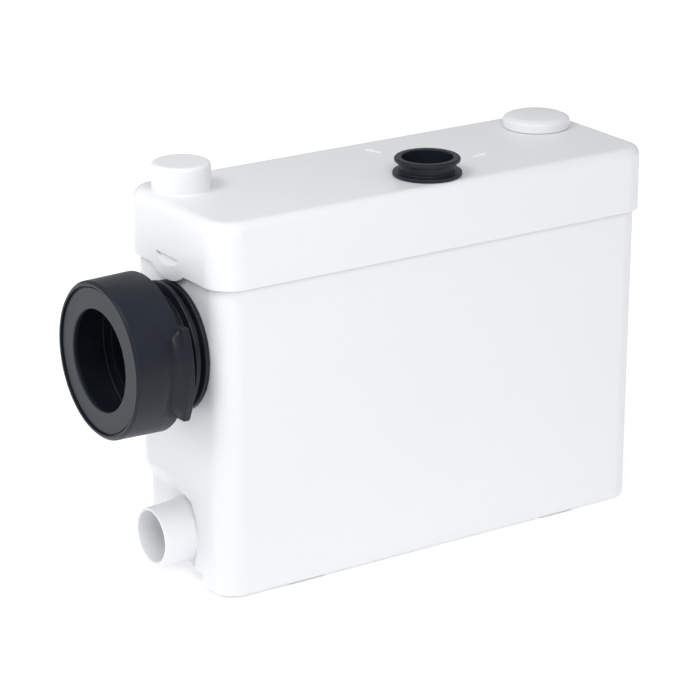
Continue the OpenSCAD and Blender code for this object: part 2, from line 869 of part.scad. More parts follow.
module impeller() {
    back_x = plate_x - impeller_play - impeller_back_t;
    front_x = casing_x + impeller_play;
    color(grey) in_frame() on_shaft() difference() {
        union() {
            bar_x(back_x, back_x + impeller_back_t, impeller_r);
            translate([front_x, 0, 0]) rotate([90, 0, 90]) linear_extrude(back_x + eps - front_x) {
                circle(hub_r);
                for (i = [0:vane_count - 1]) rotate(i * 360 / vane_count)
                    translate([0, -vane_t / 2]) square([impeller_r - eps, vane_t]);
            }
        }
        bar_x(casing_x, plate_x, shaft_r + run_gap);
    }
}

module seal_rotor() {
    color(blue_grey) in_frame() on_shaft()
        tube_x(plate_x - impeller_play, plate_x - seal_play, seal_r - part_gap, shaft_r + run_gap);
}

module seal_seat() {
    color(white) in_frame() on_shaft() tube_x(plate_x, plate_x + seal_pocket, seal_r, shaft_r + 2 * run_gap);
}

// Motor

module motor_plate() {
    color(grey) in_frame() on_shaft() difference() {
        bolt_flange(plate_x, can_x, motor_r);
        bar_x(plate_x - eps, can_x + eps, shaft_r + part_gap);
        bar_x(plate_x - eps, plate_x + seal_pocket, seal_r + run_gap);
        bar_x(can_x - bearing_w, can_x + eps, bearing_r + run_gap);
        at_bolts() bar_x(plate_x - eps, plate_x + bolt_depth, bolt_r + run_gap);
    }
}

module motor_can() {
    color(steel) in_frame() on_shaft() tube_x(can_x, cap_x, motor_r, motor_r - can_wall);
}

module motor_end_cap() {
    color(grey) in_frame() on_shaft() difference() {
        bar_x(cap_x, cap_x + end_cap_t, motor_r);
        bar_x(cap_x - eps, cap_x + bearing_w, bearing_r + run_gap);
    }
}

module bearing(x0) {
    color(steel) in_frame() on_shaft() tube_x(x0, x0 + bearing_w, bearing_r, shaft_r + run_gap);
}

module front_bearing() {
    bearing(can_x - bearing_w);
}

module rear_bearing() {
    bearing(cap_x);
}

module motor_shaft() {
    color(steel) in_frame() on_shaft() {
        bar_x(shaft_left, blade_x + eps, stub_r);
        bar_x(blade_x, shaft_right, shaft_r);
    }
}

module rotor_core() {
    color(steel) in_frame() on_shaft()
        tube_x(can_x + stack_inset, can_x + stack_inset + stack_len, rotor_r, shaft_r + run_gap);
}

module stator_core() {
    color(blue_grey) in_frame() on_shaft() tube_x(can_x + stack_inset, can_x + stack_inset + stack_len,
        motor_r - can_wall - fit_gap, rotor_r + air_gap);
}

module stator_windings() {
    mid = (winding_in + winding_out) / 2;
    for (x = [can_x + stack_inset - winding_len - run_gap, can_x + stack_inset + stack_len + run_gap])
        color(copper) in_frame() on_shaft() translate([x, 0, 0]) rotate([0, 90, 0])
        rotate_extrude() translate([mid, winding_len / 2])
        plate(winding_out - winding_in, winding_len, winding_edge);
}

module motor_saddles() {
    for (x = [can_x + saddle_w, cap_x - 2 * saddle_w]) color(rubber) in_frame() difference() {
        translate([x, -saddle_half, floor_z]) cube([saddle_w, 2 * saddle_half, motor_r / 3]);
        on_shaft() bar_x(x - eps, x + saddle_w + eps, motor_r + fit_gap);
    }
}

// Discharge path

module at_outlet() {
    translate([outlet_x, outlet_y, 0]) children();
}

module valve_hinge(r, half) {
    translate([0, valve_pin_y, valve_pin_z]) rotate([0, 90, 0]) cylinder(h = 2 * half, r = r, center = true);
}

module valve_body() {
    top = riser_low + valve_socket;
    color(grey) in_frame() at_outlet() difference() {
        translate([0, 0, stub_top - valve_socket]) cylinder(h = top - stub_top + valve_socket, r = valve_r);
        translate([0, 0, stub_top - valve_socket - eps])
            cylinder(h = valve_socket + eps, r = riser_r + fit_gap);
        translate([0, 0, stub_top - eps]) cylinder(h = valve_seat_t + 2 * eps, r = valve_seat_r);
        translate([0, 0, valve_seat_z]) cylinder(h = valve_len + eps, r = valve_bore_r);
        translate([0, 0, riser_low]) cylinder(h = valve_socket + eps, r = riser_r + fit_gap);
        valve_hinge(valve_pin_r + run_gap, valve_bore_r);
    }
}

module valve_flap() {
    color(rubber) in_frame() at_outlet() difference() {
        union() {
            translate([0, 0, valve_flap_z]) intersection() {
                cylinder(h = valve_flap_t, r = valve_flap_r);
                translate([-valve_flap_r, -valve_flap_r, 0])
                    cube([2 * valve_flap_r, valve_flap_r + valve_pin_y - eps, valve_flap_t]);
            }
            valve_hinge(valve_knuckle_r, valve_knuckle_half);
        }
        valve_hinge(valve_pin_r + run_gap, valve_bore_r);
    }
}

module valve_pin() {
    color(steel) in_frame() at_outlet() valve_hinge(valve_pin_r, valve_bore_r - valve_pin_short);
}

module riser_pipe() {
    color(grey) in_frame() at_outlet() tube_z(riser_low, riser_high, riser_r, riser_r - riser_wall);
}

// Pressure switch

module at_switch() {
    translate([boss_x, boss_y, 0]) children();
}

module pressure_tube() {
    side = tube_y - boss_y;
    color(grey) in_frame() at_switch() difference() {
        union() {
            translate([0, 0, shelf_z]) cylinder(h = air_h, r = chamber_w_r);
            translate([0, side, floor_z + tube_foot])
                cylinder(h = shelf_z + air_floor - floor_z - tube_foot, r = tube_r);
        }
        translate([0, 0, shelf_z + air_floor]) cylinder(h = air_h, r = air_r);
        translate([0, side, floor_z + tube_foot - eps])
            cylinder(h = shelf_z + air_floor + 2 * eps - floor_z - tube_foot, r = tube_bore_r);
    }
}

module switch_diaphragm() {
    color(rubber) in_frame() at_switch() translate([0, 0, air_top]) cylinder(h = skin_t, r = chamber_w_r);
}

module lever_hinge(r, length) {
    translate([-lever_arm, 0, lever_z]) rotate([90, 0, 0]) cylinder(h = length, r = r, center = true);
}

module diaphragm_cover() {
    color(white) in_frame() at_switch() difference() {
        union() {
            translate([0, 0, skin_top]) cylinder(h = switch_base - skin_top, r = chamber_w_r);
            for (side = [0, 1]) mirror([0, side, 0]) translate([-cheek_left, cheek_gap, switch_base - eps])
                cube([cheek_left + cheek_right, cheek_t, switch_z + switch_h - switch_base + eps]);
        }
        translate([0, 0, skin_top - eps]) cylinder(h = cover_room + eps, r = cover_in_r);
        cylinder(h = lid_top_z, r = stem_r + run_gap);
        lever_hinge(lever_pin_r + run_gap, 4 * cheek_gap + 4 * cheek_t);
    }
}

module switch_plunger() {
    color(grey) in_frame() at_switch() {
        translate([0, 0, skin_top + part_gap]) cylinder(h = plunger_t, r = plunger_r);
        translate([0, 0, skin_top + part_gap]) cylinder(h = stem_top - skin_top - part_gap, r = stem_r);
    }
}

module switch_lever() {
    color(steel) in_frame() at_switch() difference() {
        union() {
            translate([-lever_arm, -lever_w / 2, lever_z - lever_t / 2]) cube([lever_tip, lever_w, lever_t]);
            lever_hinge(lever_knuckle_r, lever_w);
        }
        lever_hinge(lever_pin_r + run_gap, 2 * lever_w);
    }
}

module lever_pin() {
    color(steel) in_frame() at_switch() lever_hinge(lever_pin_r, 2 * (cheek_gap + cheek_t));
}

module microswitch() {
    color(rubber) in_frame() at_switch() translate([-switch_len / 2, -switch_w / 2, switch_z])
        cube([switch_len, switch_w, switch_h]);
}

// Electrics

// Copies at the four corner posts of the electrics box
module at_posts() {
    half_x = box_len / 2 - post_inset;
    half_y = box_depth / 2 - post_inset;
    for (sx = [-1, 1], sy = [-1, 1]) translate([box_mid + sx * half_x, sy * half_y, 0]) children();
}

module electrics_box() {
    color(grey) in_frame() difference() {
        union() {
            difference() {
                translate([box_mid, 0, 0]) slab(box_len, box_depth, box_corner_r, box_low, box_top);
                translate([box_mid, 0, 0]) slab(box_len - 2 * box_wall, box_depth - 2 * box_wall,
                    box_corner_r - box_wall, box_low + box_wall, box_top + eps);
            }
            at_posts() translate([0, 0, box_low + box_wall / 2])
                cylinder(h = box_h - box_wall / 2, r = post_r);
        }
        at_posts() translate([0, 0, box_top - box_screw_len])
            cylinder(h = box_screw_len + eps, r = post_hole_r);
        translate([0, gland_y, gland_z])
            bar_x(box_right - 2 * box_wall, box_right + eps, gland_thread_r + fit_gap);
    }
}

module electrics_box_cover() {
    color(grey) in_frame() difference() {
        translate([box_mid, 0, 0]) slab(box_len, box_depth, box_corner_r, box_top, box_top + box_cover_t);
        at_posts() translate([0, 0, box_top - eps])
            cylinder(h = box_cover_t + 2 * eps, r = post_hole_r + fit_gap);
    }
}

module box_screws() {
    color(steel) in_frame() at_posts() {
        translate([0, 0, box_top + box_cover_t]) cylinder(h = box_screw_head_t, r = box_screw_head_r);
        translate([0, 0, box_top - box_screw_len + eps])
            cylinder(h = box_screw_len + box_cover_t, r = post_hole_r - run_gap);
    }
}

module run_capacitor() {
    color(grey) in_frame()
        translate([box_mid - capacitor_len / 2, capacitor_y, box_low + box_wall + capacitor_r + run_gap])
        bar_x(0, capacitor_len, capacitor_r);
}

module terminal_block() {
    pitch = block_len / block_ways;
    color(white) in_frame()
        translate([box_mid - block_len / 2, block_y - block_depth / 2, box_low + box_wall]) difference() {
            cube([block_len, block_depth, block_h]);
            for (i = [0:block_ways - 1], row = [1, 3])
                translate([(i + 0.5) * pitch, row * block_depth / 4, block_h / 2])
                cylinder(h = block_h, r = pitch / 4);
        }
}

// Moves to the gland's axis at the tank's right end
module at_gland() {
    translate([end_x, gland_y, gland_z]) children();
}

module cable_gland() {
    color(rubber) in_frame() at_gland() difference() {
        union() {
            bar_x(-gland_inside, gland_reach - gland_mouth, gland_thread_r);
            hex_x(gland_washer_t, gland_washer_t + gland_hex_t, gland_hex_r, gland_bore_r);
        }
        bar_x(-gland_inside - eps, gland_reach + eps, gland_bore_r);
    }
}

module gland_washer() {
    color(grey) in_frame() at_gland()
        tube_x(0, gland_washer_t, gland_hex_r - gland_mouth, gland_thread_r + fit_gap);
}

module gland_nut() {
    color(rubber) in_frame() at_gland() difference() {
        hex_x(gland_reach - gland_nut_len, gland_reach, gland_hex_r - part_gap, gland_bore_r);
        bar_x(gland_reach - gland_nut_len - eps, gland_reach - gland_mouth + run_gap,
            gland_thread_r + run_gap);
    }
}

module gland_locknut() {
    inner = -tank_wall - box_gap - box_wall;
    color(rubber) in_frame() at_gland()
        hex_x(inner - locknut_t, inner, gland_hex_r, gland_thread_r + run_gap);
}

tank();
lid();
lid_seal();
wc_inlet_sleeve();
outlet_sleeve();
vent_cap();
vent_filter();
foot_pads();
inlet_flap();
inlet_flap_pin();
grinder_basket();
grinder_blade();
blade_nut();
pump_cover();
pump_casing();
casing_screws();
impeller();
seal_rotor();
seal_seat();
motor_plate();
motor_can();
motor_end_cap();
front_bearing();
rear_bearing();
motor_shaft();
rotor_core();
stator_core();
stator_windings();
motor_saddles();
valve_body();
valve_flap();
valve_pin();
riser_pipe();
pressure_tube();
switch_diaphragm();
diaphragm_cover();
switch_plunger();
switch_lever();
lever_pin();
microswitch();
electrics_box();
electrics_box_cover();
box_screws();
run_capacitor();
terminal_block();
cable_gland();
gland_washer();
gland_nut();
gland_locknut();
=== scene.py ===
"""Looks of a slim macerator toilet pump: white tank and lid, black pan collar and discharge
sleeve, vent cap, cable gland, and a finish for every solid that keeps its own shape."""
import json
import math

import bpy
import numpy as np
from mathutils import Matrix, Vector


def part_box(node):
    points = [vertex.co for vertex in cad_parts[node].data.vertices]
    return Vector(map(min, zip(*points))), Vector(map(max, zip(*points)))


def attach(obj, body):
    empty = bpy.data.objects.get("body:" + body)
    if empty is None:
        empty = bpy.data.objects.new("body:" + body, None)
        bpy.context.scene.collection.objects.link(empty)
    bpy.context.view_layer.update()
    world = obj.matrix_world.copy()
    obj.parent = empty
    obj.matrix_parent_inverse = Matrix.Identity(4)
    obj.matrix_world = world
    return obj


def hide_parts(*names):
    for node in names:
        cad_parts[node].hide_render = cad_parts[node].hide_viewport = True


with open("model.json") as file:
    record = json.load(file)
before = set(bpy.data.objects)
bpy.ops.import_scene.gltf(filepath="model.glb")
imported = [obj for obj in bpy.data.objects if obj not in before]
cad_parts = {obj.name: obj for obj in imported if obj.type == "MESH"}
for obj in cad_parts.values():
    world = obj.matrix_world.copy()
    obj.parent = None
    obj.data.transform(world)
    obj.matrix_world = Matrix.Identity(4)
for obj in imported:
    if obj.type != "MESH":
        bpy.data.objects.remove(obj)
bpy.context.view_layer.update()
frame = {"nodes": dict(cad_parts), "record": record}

bl_info = {
    "name": "Macerator toilet pump",
    "version": (1, 0, 0),
    "blender": (4, 5, 0),
    "location": "View3D > Sidebar > Pump",
    "description":
        "Builds the mouldings, sleeves and finishes of a macerator pump round its solids",
    "category": "Object",
}

MM = 0.001
UP, LEFTWARD, RIGHTWARD = (0, 0, 1), (-1, 0, 0), (1, 0, 0)
# Faces that meet at more than this angle keep a sharp edge between them
SHARP_ANGLE = math.radians(38)
# A column of a wall lies on a flat side if its normal has more than this share along one axis
FLAT = 0.999


def box_mm(node):
    """Lowest and highest corner of a solid, in millimetres"""
    low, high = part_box(node)
    return np.array(low) / MM, np.array(high) / MM


def middle(node):
    """Middle of a solid's box, in millimetres"""
    return sum(box_mm(node)) / 2


# Places that the solids give, in millimetres
LID_LOW, LID_HIGH = box_mm("lid")
LID_HALF = (LID_HIGH - LID_LOW) / 2
MID_X = (LID_LOW[0] + LID_HIGH[0]) / 2
SEAL_LOW, SEAL_HIGH = box_mm("lid_seal")
TANK_HALF = (SEAL_HIGH - SEAL_LOW) / 2
LEFT_X, RIGHT_X = MID_X - TANK_HALF[0], MID_X + TANK_HALF[0]
SPIGOT_END, _, BASE_Z = box_mm("tank")[0]
RIM_Z = SEAL_LOW[2]
TOP_Z = box_mm("vent_cap")[0][2]
BOSS_TOP_Z = LID_HIGH[2]
BOSS_AXIS = middle("switch_diaphragm")
OUTLET_AXIS = middle("outlet_sleeve")
VENT_AXIS = middle("vent_cap")
GLAND_AXIS = middle("gland_nut")
COLLAR_Z = middle("wc_inlet_sleeve")[2]
SHAFT_Z = middle("motor_can")[2]

# Places that no solid's box gives, in millimetres
SPIGOT_Z = 37.5
TONGUE_Y = 4.5
WINDOW_HALF, WINDOW_DEEP, WINDOW_TOP_Z = 16, 8.5, 253.5


class ShellSettings(bpy.types.PropertyGroup):
    """Sizes and colour of the white mouldings"""
    corner: bpy.props.FloatProperty(
        name="Corner radius", description="Plan radius of the tank's upright corners",
        default=0.0185, min=0.016, max=0.024, unit="LENGTH", precision=4)
    draft_length: bpy.props.FloatProperty(
        name="Draft along",
        description="How much each end of the tank leans in towards its lower edge",
        default=0.0009, min=0.0, max=0.002, unit="LENGTH", precision=4)
    draft_depth: bpy.props.FloatProperty(
        name="Draft across",
        description="How much the front and back lean in towards the lower edge",
        default=0.0017, min=0.0, max=0.003, unit="LENGTH", precision=4)
    lid_edge: bpy.props.FloatProperty(
        name="Lid edge", description="Radius of the lid's upper edges",
        default=0.0075, min=0.004, max=0.012, unit="LENGTH", precision=4)
    wall: bpy.props.FloatProperty(
        name="Tank wall", description="Wall of the tank",
        default=0.0035, min=0.0025, max=0.004, unit="LENGTH", precision=4)
    lid_wall: bpy.props.FloatProperty(
        name="Lid wall", description="Wall of the lid",
        default=0.00275, min=0.002, max=0.003, unit="LENGTH", precision=4)
    step: bpy.props.FloatProperty(
        name="Set-back", description="How far the lower left end lies behind the upper part",
        default=0.0055, min=0.003, max=0.006, unit="LENGTH", precision=4)
    colour: bpy.props.FloatVectorProperty(
        name="White", description="Colour of the white mouldings",
        default=(0.795, 0.802, 0.824), min=0.0, max=1.0, subtype="COLOR")
    shine: bpy.props.FloatProperty(
        name="Roughness", description="Mean roughness of the white mouldings",
        default=0.36, min=0.0, max=1.0, subtype="FACTOR")


class RubberSettings(bpy.types.PropertyGroup):
    """Sizes and colour of the black rubber"""
    colour: bpy.props.FloatVectorProperty(
        name="Black", description="Colour of the rubber",
        default=(0.0085, 0.0122, 0.0185), min=0.0, max=1.0, subtype="COLOR")
    shine: bpy.props.FloatProperty(
        name="Roughness", description="Mean roughness of the rubber",
        default=0.38, min=0.0, max=1.0, subtype="FACTOR")
    ear_side: bpy.props.FloatProperty(
        name="Ear side", description="Width of the flat side of the collar's ears",
        default=0.0048, min=0.002, max=0.007, unit="LENGTH", precision=4)


class StageSettings(bpy.types.PropertyGroup):
    """Camera, lights and floor"""
    camera_place: bpy.props.FloatVectorProperty(
        name="Camera", description="Place of the camera",
        default=(-1.23175, -1.8258, 0.9187), subtype="TRANSLATION")
    camera_target: bpy.props.FloatVectorProperty(
        name="Target", description="Point that the camera looks at",
        default=(-0.015324, 0.0, 0.150694), subtype="TRANSLATION")
    lens: bpy.props.FloatProperty(
        name="Lens", description="Focal length on a 36 mm wide sensor",
        default=155.86, min=20.0, max=400.0, unit="CAMERA")
    sky: bpy.props.FloatProperty(
        name="Surround", description="Strength of the even white surround",
        default=0.52, min=0.0, max=3.0)
    key: bpy.props.FloatProperty(
        name="Key light", description="Power of the large soft light at the front, in watts",
        default=14.3, min=0.0, max=500.0)
    top: bpy.props.FloatProperty(
        name="Top light", description="Power of the soft light above the left end, in watts",
        default=4.2, min=0.0, max=500.0)
    end: bpy.props.FloatProperty(
        name="End light", description="Power of the low soft light off the left end, in watts",
        default=2.0, min=0.0, max=500.0)
    glow: bpy.props.FloatProperty(
        name="Floor glow", description="Strength of the floor's own light behind the object",
        default=0.62, min=0.0, max=3.0)
    floor: bpy.props.FloatVectorProperty(
        name="Floor", description="Colour of the floor",
        default=(0.95, 0.95, 0.955), min=0.0, max=1.0, subtype="COLOR")


# Surfaces

def ease(x, low, high):
    """Smooth step: 0 below low, 1 above high, s s (3 - 2 s) between"""
    s = np.clip((x - low) / (high - low), 0, 1)
    return s * s * (3 - 2 * s)


def angles(count):
    """Equal steps once round a circle"""
    return np.linspace(0, 2 * np.pi, count, endpoint=False)


def about(centre, half):
    """The two values that lie half a span below and above a centre"""
    return centre - half, centre + half


def rounded(corners, radii, steps=6, closed=True):
    """A flat path with its corners rounded. At a corner with unit directions a in and b out and
    turn t between them, the arc of radius r starts r tan(t/2) before the corner and turns by t
    about a centre r to its side. An open path keeps its two ends."""
    p = np.asarray(corners, float)
    if closed:
        before, here, after = np.roll(p, 1, 0), p, np.roll(p, -1, 0)
    else:
        before, here, after = p[:-2], p[1:-1], p[2:]
    r = np.broadcast_to(np.asarray(radii, float), len(here))[:, None]
    a, b = (k / np.linalg.norm(k, axis=1, keepdims=True) for k in (here - before, after - here))
    turn = np.arctan2(a[:, 0] * b[:, 1] - a[:, 1] * b[:, 0], (a * b).sum(1))[:, None]
    start = here - a * r * np.tan(np.abs(turn) / 2)
    centre = start + np.sign(turn) * r * np.stack([-a[:, 1], a[:, 0]], 1)
    arm, angle = start - centre, turn * np.linspace(0, 1, steps)
    x, y = arm[:, :1], arm[:, 1:]
    arc = np.stack([centre[:, :1] + x * np.cos(angle) - y * np.sin(angle),
                    centre[:, 1:] + x * np.sin(angle) + y * np.cos(angle)], -1)
    path = arc.reshape(-1, 2)
    return path if closed else np.concatenate([p[:1], path, p[-1:]])


def profile(rows, steps):
    """A closed section from rows of (radius, distance along the axis, rounding)"""
    rows = np.array(rows, float)
    return rounded(rows[:, :2], rows[:, 2], steps)


def upright(inset, heights):
    """A straight run of a section: one inset at several heights"""
    return np.stack([np.full_like(heights, inset), heights], 1)


def refine(path, length):
    """Adds points to a closed path so that no step is longer than a length, by its arc length"""
    ring = np.concatenate([path, path[:1]])
    run = np.concatenate([[0], np.cumsum(np.linalg.norm(np.diff(ring, axis=0), axis=1))])
    at = np.union1d(run[:-1], np.arange(0, run[-1], length))
    return np.stack([np.interp(at, run, k) for k in ring.T], 1)


def revolve(path, centre, axis, around=96, ridge=1.0):
    """Turns a path of (radius, distance along the axis) about an axis square to Y: at angle t a
    point is centre + r (e1 cos t + e2 sin t) + d axis, with e1 along Y and e2 = axis x e1. Ridge
    factors change r along the path and over t."""
    t = angles(around)[:, None]
    axis, e1 = np.asarray(axis, float), np.array([0.0, 1.0, 0.0])
    e2 = np.cross(axis, e1)
    r = np.broadcast_to(path[:, :1] * ridge, (len(path), around))
    return (np.asarray(centre, float) + r[..., None] * (e1 * np.cos(t) + e2 * np.sin(t))
            + path[:, 1, None, None] * axis)


def turned(path, point, foot_z=0.0, around=96):
    """A path turned about the upright line through a point, its distances counted from a height"""
    return revolve(path, (point[0], point[1], foot_z), UP, around)


def outline(end_columns, side_columns, arc_columns):
    """A rounded rectangle as columns (u, v, nx, ny), anticlockwise from the front of the right
    end. On a side with normal n and tangent g, (u, v) runs from n - g to n + g; on the arc after
    it (u, v) stays at n + g while the normal turns by a quarter."""
    parts = []
    for quarter, columns in enumerate((end_columns, side_columns, end_columns, side_columns)):
        turn = quarter * np.pi / 2
        n = np.array([np.cos(turn), np.sin(turn)])
        g = np.array([-np.sin(turn), np.cos(turn)])
        along = np.linspace(-1, 1, columns)[:, None]
        parts.append(np.concatenate([n + along * g, np.broadcast_to(n, (columns, 2))], 1))
        arc = turn + np.linspace(0, np.pi / 2, arc_columns + 2)[1:-1]
        parts.append(np.concatenate([np.broadcast_to(n + g, (arc_columns, 2)),
                                     np.stack([np.cos(arc), np.sin(arc)], 1)], 1))
    return np.concatenate(parts)


def rings(shape, half_x, half_y, corner, path):
    """Carries a path of (inset, height) round a rounded rectangle: x = u (half_x - R) +
    nx (R - inset), and y likewise, with R the corner radius. The half sizes may change from row
    to row."""
    u, v, nx, ny = shape.T
    inset, z = path[:, :1], path[:, 1:]
    half_x, half_y = (np.reshape(k, (-1, 1)) for k in (half_x, half_y))
    x = u * (half_x - corner) + nx * (corner - inset)
    y = v * (half_y - corner) + ny * (corner - inset)
    return np.stack(np.broadcast_arrays(x, y, z), -1)


def block(x, y, z, corner=2.0):
    """A box between two values on each axis, with rounded plan corners and rounded upper and lower
    edges, as rings from its bottom to its top"""
    half_x, half_y = ((high - low) / 2 for low, high in (x, y))
    deep, edge = 0.9 * min(corner, half_x, half_y), 0.6
    path = rounded([(deep, z[0]), (0, z[0]), (0, z[1]), (deep, z[1])], edge, 4, closed=False)
    return rings(outline(2, 2, 5), half_x, half_y, corner, path) + [sum(x) / 2, sum(y) / 2, 0]


def prism_x(outline_yz, x_low, x_high):
    """A flat outline of (y, z) carried along X, as two rings"""
    return np.stack([np.insert(outline_yz, 0, x, 1) for x in (x_low, x_high)])


def disc(radius, y, z):
    """A circle of (y, z) points"""
    t = angles(96)
    return np.stack([y + radius * np.cos(t), z + radius * np.sin(t)], 1)


def half_moon(gap=0.0):
    """The window of a tongue as (y, z) points: a flat top, and below it the arc of radius
    r = (w w + h h) / 2 h for half the width w and the depth h, both drawn in by a gap"""
    r = (WINDOW_HALF ** 2 + WINDOW_DEEP ** 2) / (2 * WINDOW_DEEP)
    centre = WINDOW_TOP_Z - WINDOW_DEEP + r
    r, top = r - gap, WINDOW_TOP_Z - gap
    reach = math.acos((centre - top) / r)
    t = np.linspace(-reach, reach, 40)
    return np.stack([TONGUE_Y + r * np.sin(t), centre - r * np.cos(t)], 1)


class Skin:
    """Gathers closed shells, in millimetres, into one mesh"""

    def __init__(self):
        self.points, self.faces, self.total = [], [], 0

    def shell(self, points, loop=False):
        """Adds points[row, column] as quads between neighbouring rows and columns. The columns
        close into rings; the rows close into a loop, or end in flat caps. The sign of the volume
        that the faces enclose, the sum of a . (b x c) over their triangles, turns them outwards."""
        rows, columns = points.shape[:2]
        index = np.arange(rows * columns).reshape(rows, columns)
        wide = np.concatenate([index, index[:1]]) if loop else index
        wide = np.concatenate([wide, wide[:, :1]], 1)
        quads = np.stack([wide[:-1, :-1], wide[:-1, 1:], wide[1:, 1:], wide[1:, :-1]], -1)
        quads = quads.reshape(-1, 4)
        caps = [] if loop else [index[0, ::-1], index[-1]]
        fans = [np.stack([np.full(columns - 2, c[0]), c[1:-1], c[2:]], 1) for c in caps]
        triangles = np.concatenate([quads[:, :3], quads[:, [0, 2, 3]]] + fans)
        flat = points.reshape(-1, 3)
        a, b, c = (flat[k] - flat.mean(0) for k in triangles.T)
        step = -1 if (a * np.cross(b, c)).sum() < 0 else 1
        self.faces += [(self.total + f[::step]).tolist() for f in [*quads, *caps]]
        self.points.append(flat)
        self.total += len(flat)
        return self

    def mesh(self, name="skin"):
        """The gathered shells as a mesh, in metres"""
        mesh = bpy.data.meshes.new(name)
        mesh.from_pydata((np.concatenate(self.points) * MM).tolist(), [], self.faces)
        mesh.validate()
        return mesh


def add(name, data):
    """A new object in the scene"""
    obj = bpy.data.objects.new(name, data)
    bpy.context.scene.collection.objects.link(obj)
    return obj


def cut(mesh, tools):
    """Takes closed shells out of a mesh with exact Boolean modifiers, and gives the new mesh"""
    body = add("cut_body", mesh)
    used = [body]
    for number, tool in enumerate(tools):
        name = f"cut_tool_{number}"
        used.append(add(name, Skin().shell(tool).mesh(name)))
        change = body.modifiers.new(name, "BOOLEAN")
        change.operation, change.solver, change.object = "DIFFERENCE", "EXACT", used[-1]
    bpy.context.view_layer.update()
    graph = bpy.context.evaluated_depsgraph_get()
    done = bpy.data.meshes.new_from_object(body.evaluated_get(graph))
    for obj in used:
        data = obj.data
        bpy.data.objects.remove(obj)
        bpy.data.meshes.remove(data)
    return done


def join(*meshes):
    """One mesh from several"""
    parts, faces, total = [], [], 0
    for mesh in meshes:
        co = np.empty(len(mesh.vertices) * 3, np.float32)
        mesh.vertices.foreach_get("co", co)
        faces += [[total + v for v in polygon.vertices] for polygon in mesh.polygons]
        parts.append(co.reshape(-1, 3))
        total += len(mesh.vertices)
    made = bpy.data.meshes.new("joined")
    made.from_pydata(np.concatenate(parts).tolist(), [], faces)
    for mesh in meshes:
        bpy.data.meshes.remove(mesh)
    return made


def place(name, mesh, slot, replaced=(), body="housing", material=None):
    """Puts a finished mesh in the scene at the origin, smooth with sharp edges above an angle and
    normals weighted by area, gives it its slot's finish, ties it to its body and hides its solids"""
    mesh.name = name
    obj = add(name, mesh)
    mesh.materials.clear()
    mesh.materials.append(material or finish_for(slot))
    mesh.polygons.foreach_set("material_index", np.zeros(len(mesh.polygons), np.int32))
    mesh.shade_smooth()
    mesh.set_sharp_from_angle(angle=SHARP_ANGLE)
    obj.modifiers.new("even_shading", "WEIGHTED_NORMAL").keep_sharp = True
    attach(obj, body)
    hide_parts(*replaced)


# Finishes

class Field:
    """A value that varies over a surface: one output socket of a material's nodes. Arithmetic on
    it adds Math nodes, and node() adds any other node."""

    def __init__(self, tree, socket):
        self.tree, self.socket = tree, socket

    def node(self, kind, settings, inputs, out=0):
        """Adds a node of a kind, sets its settings first, then its sockets by value or link"""
        made = self.tree.nodes.new(kind)
        for key, value in settings.items():
            setattr(made, key, value)
        for key, value in inputs.items():
            if isinstance(value, Field):
                self.tree.links.new(value.socket, made.inputs[key])
            else:
                made.inputs[key].default_value = value
        return Field(self.tree, made.outputs[out] if len(made.outputs) else None)

    def math(self, operation, left, right=0.0):
        """A Math node on two values"""
        return self.node("ShaderNodeMath", {"operation": operation}, {0: left, 1: right})

    def __add__(self, other):
        return self.math("ADD", self, other)

    __radd__ = __add__

    def __mul__(self, other):
        return self.math("MULTIPLY", self, other)

    __rmul__ = __mul__

    def __sub__(self, other):
        return self.math("SUBTRACT", self, other)

    def __rsub__(self, other):
        return self.math("SUBTRACT", other, self)

    def wave(self):
        """Sine of the value, moved to lie between 0 and 1"""
        return self.math("SINE", self) * 0.5 + 0.5

    def split(self):
        """The three parts of a vector"""
        first = self.node("ShaderNodeSeparateXYZ", {}, {0: self})
        return [Field(self.tree, socket) for socket in first.socket.node.outputs]

    def noise(self, scale, detail=2.0, rough=0.5):
        """Noise with about so many lumps in a metre"""
        return self.node("ShaderNodeTexNoise", {}, {
            "Vector": self, "Scale": scale, "Detail": detail, "Roughness": rough})

    def stretch(self, x, y, z):
        """The coordinates times a factor on each axis"""
        return self.node("ShaderNodeMapping", {}, {"Vector": self, "Scale": (x, y, z)})

    def span(self, low, high):
        """0 at low, 1 at high, clamped"""
        return self.node("ShaderNodeMapRange", {"clamp": True}, {
            "Value": self, "From Min": low, "From Max": high})

    def tint(self, first, second):
        """Colour that goes from the first to the second as the value goes from 0 to 1"""
        return self.node("ShaderNodeMix", {"data_type": "RGBA"}, {
            0: self, 6: solid(first), 7: solid(second)}, out=2)


def solid(colour):
    """A colour as four numbers, or a colour field as it is"""
    return colour if isinstance(colour, Field) else (*colour[:3], 1.0)


def shade(colour, factor):
    """A colour made lighter or darker"""
    return tuple(min(1.0, c * factor) for c in tuple(colour)[:3])


def begin(name):
    """A new empty material and its Object coordinates, in metres"""
    material = bpy.data.materials.new(name)
    material.use_nodes = True
    material.node_tree.nodes.clear()
    coords = material.node_tree.nodes.new("ShaderNodeTexCoord")
    return material, Field(material.node_tree, coords.outputs["Object"])


def surface(material, at, height, depth_mm, inputs):
    """Closes a material with a Principled shader whose normal comes from a height field"""
    normal = at.node("ShaderNodeBump", {}, {
        "Strength": 1.0, "Distance": depth_mm * MM, "Height": height})
    shader = at.node("ShaderNodeBsdfPrincipled", {}, {"Normal": normal, **inputs})
    at.node("ShaderNodeOutputMaterial", {}, {"Surface": shader})
    return material


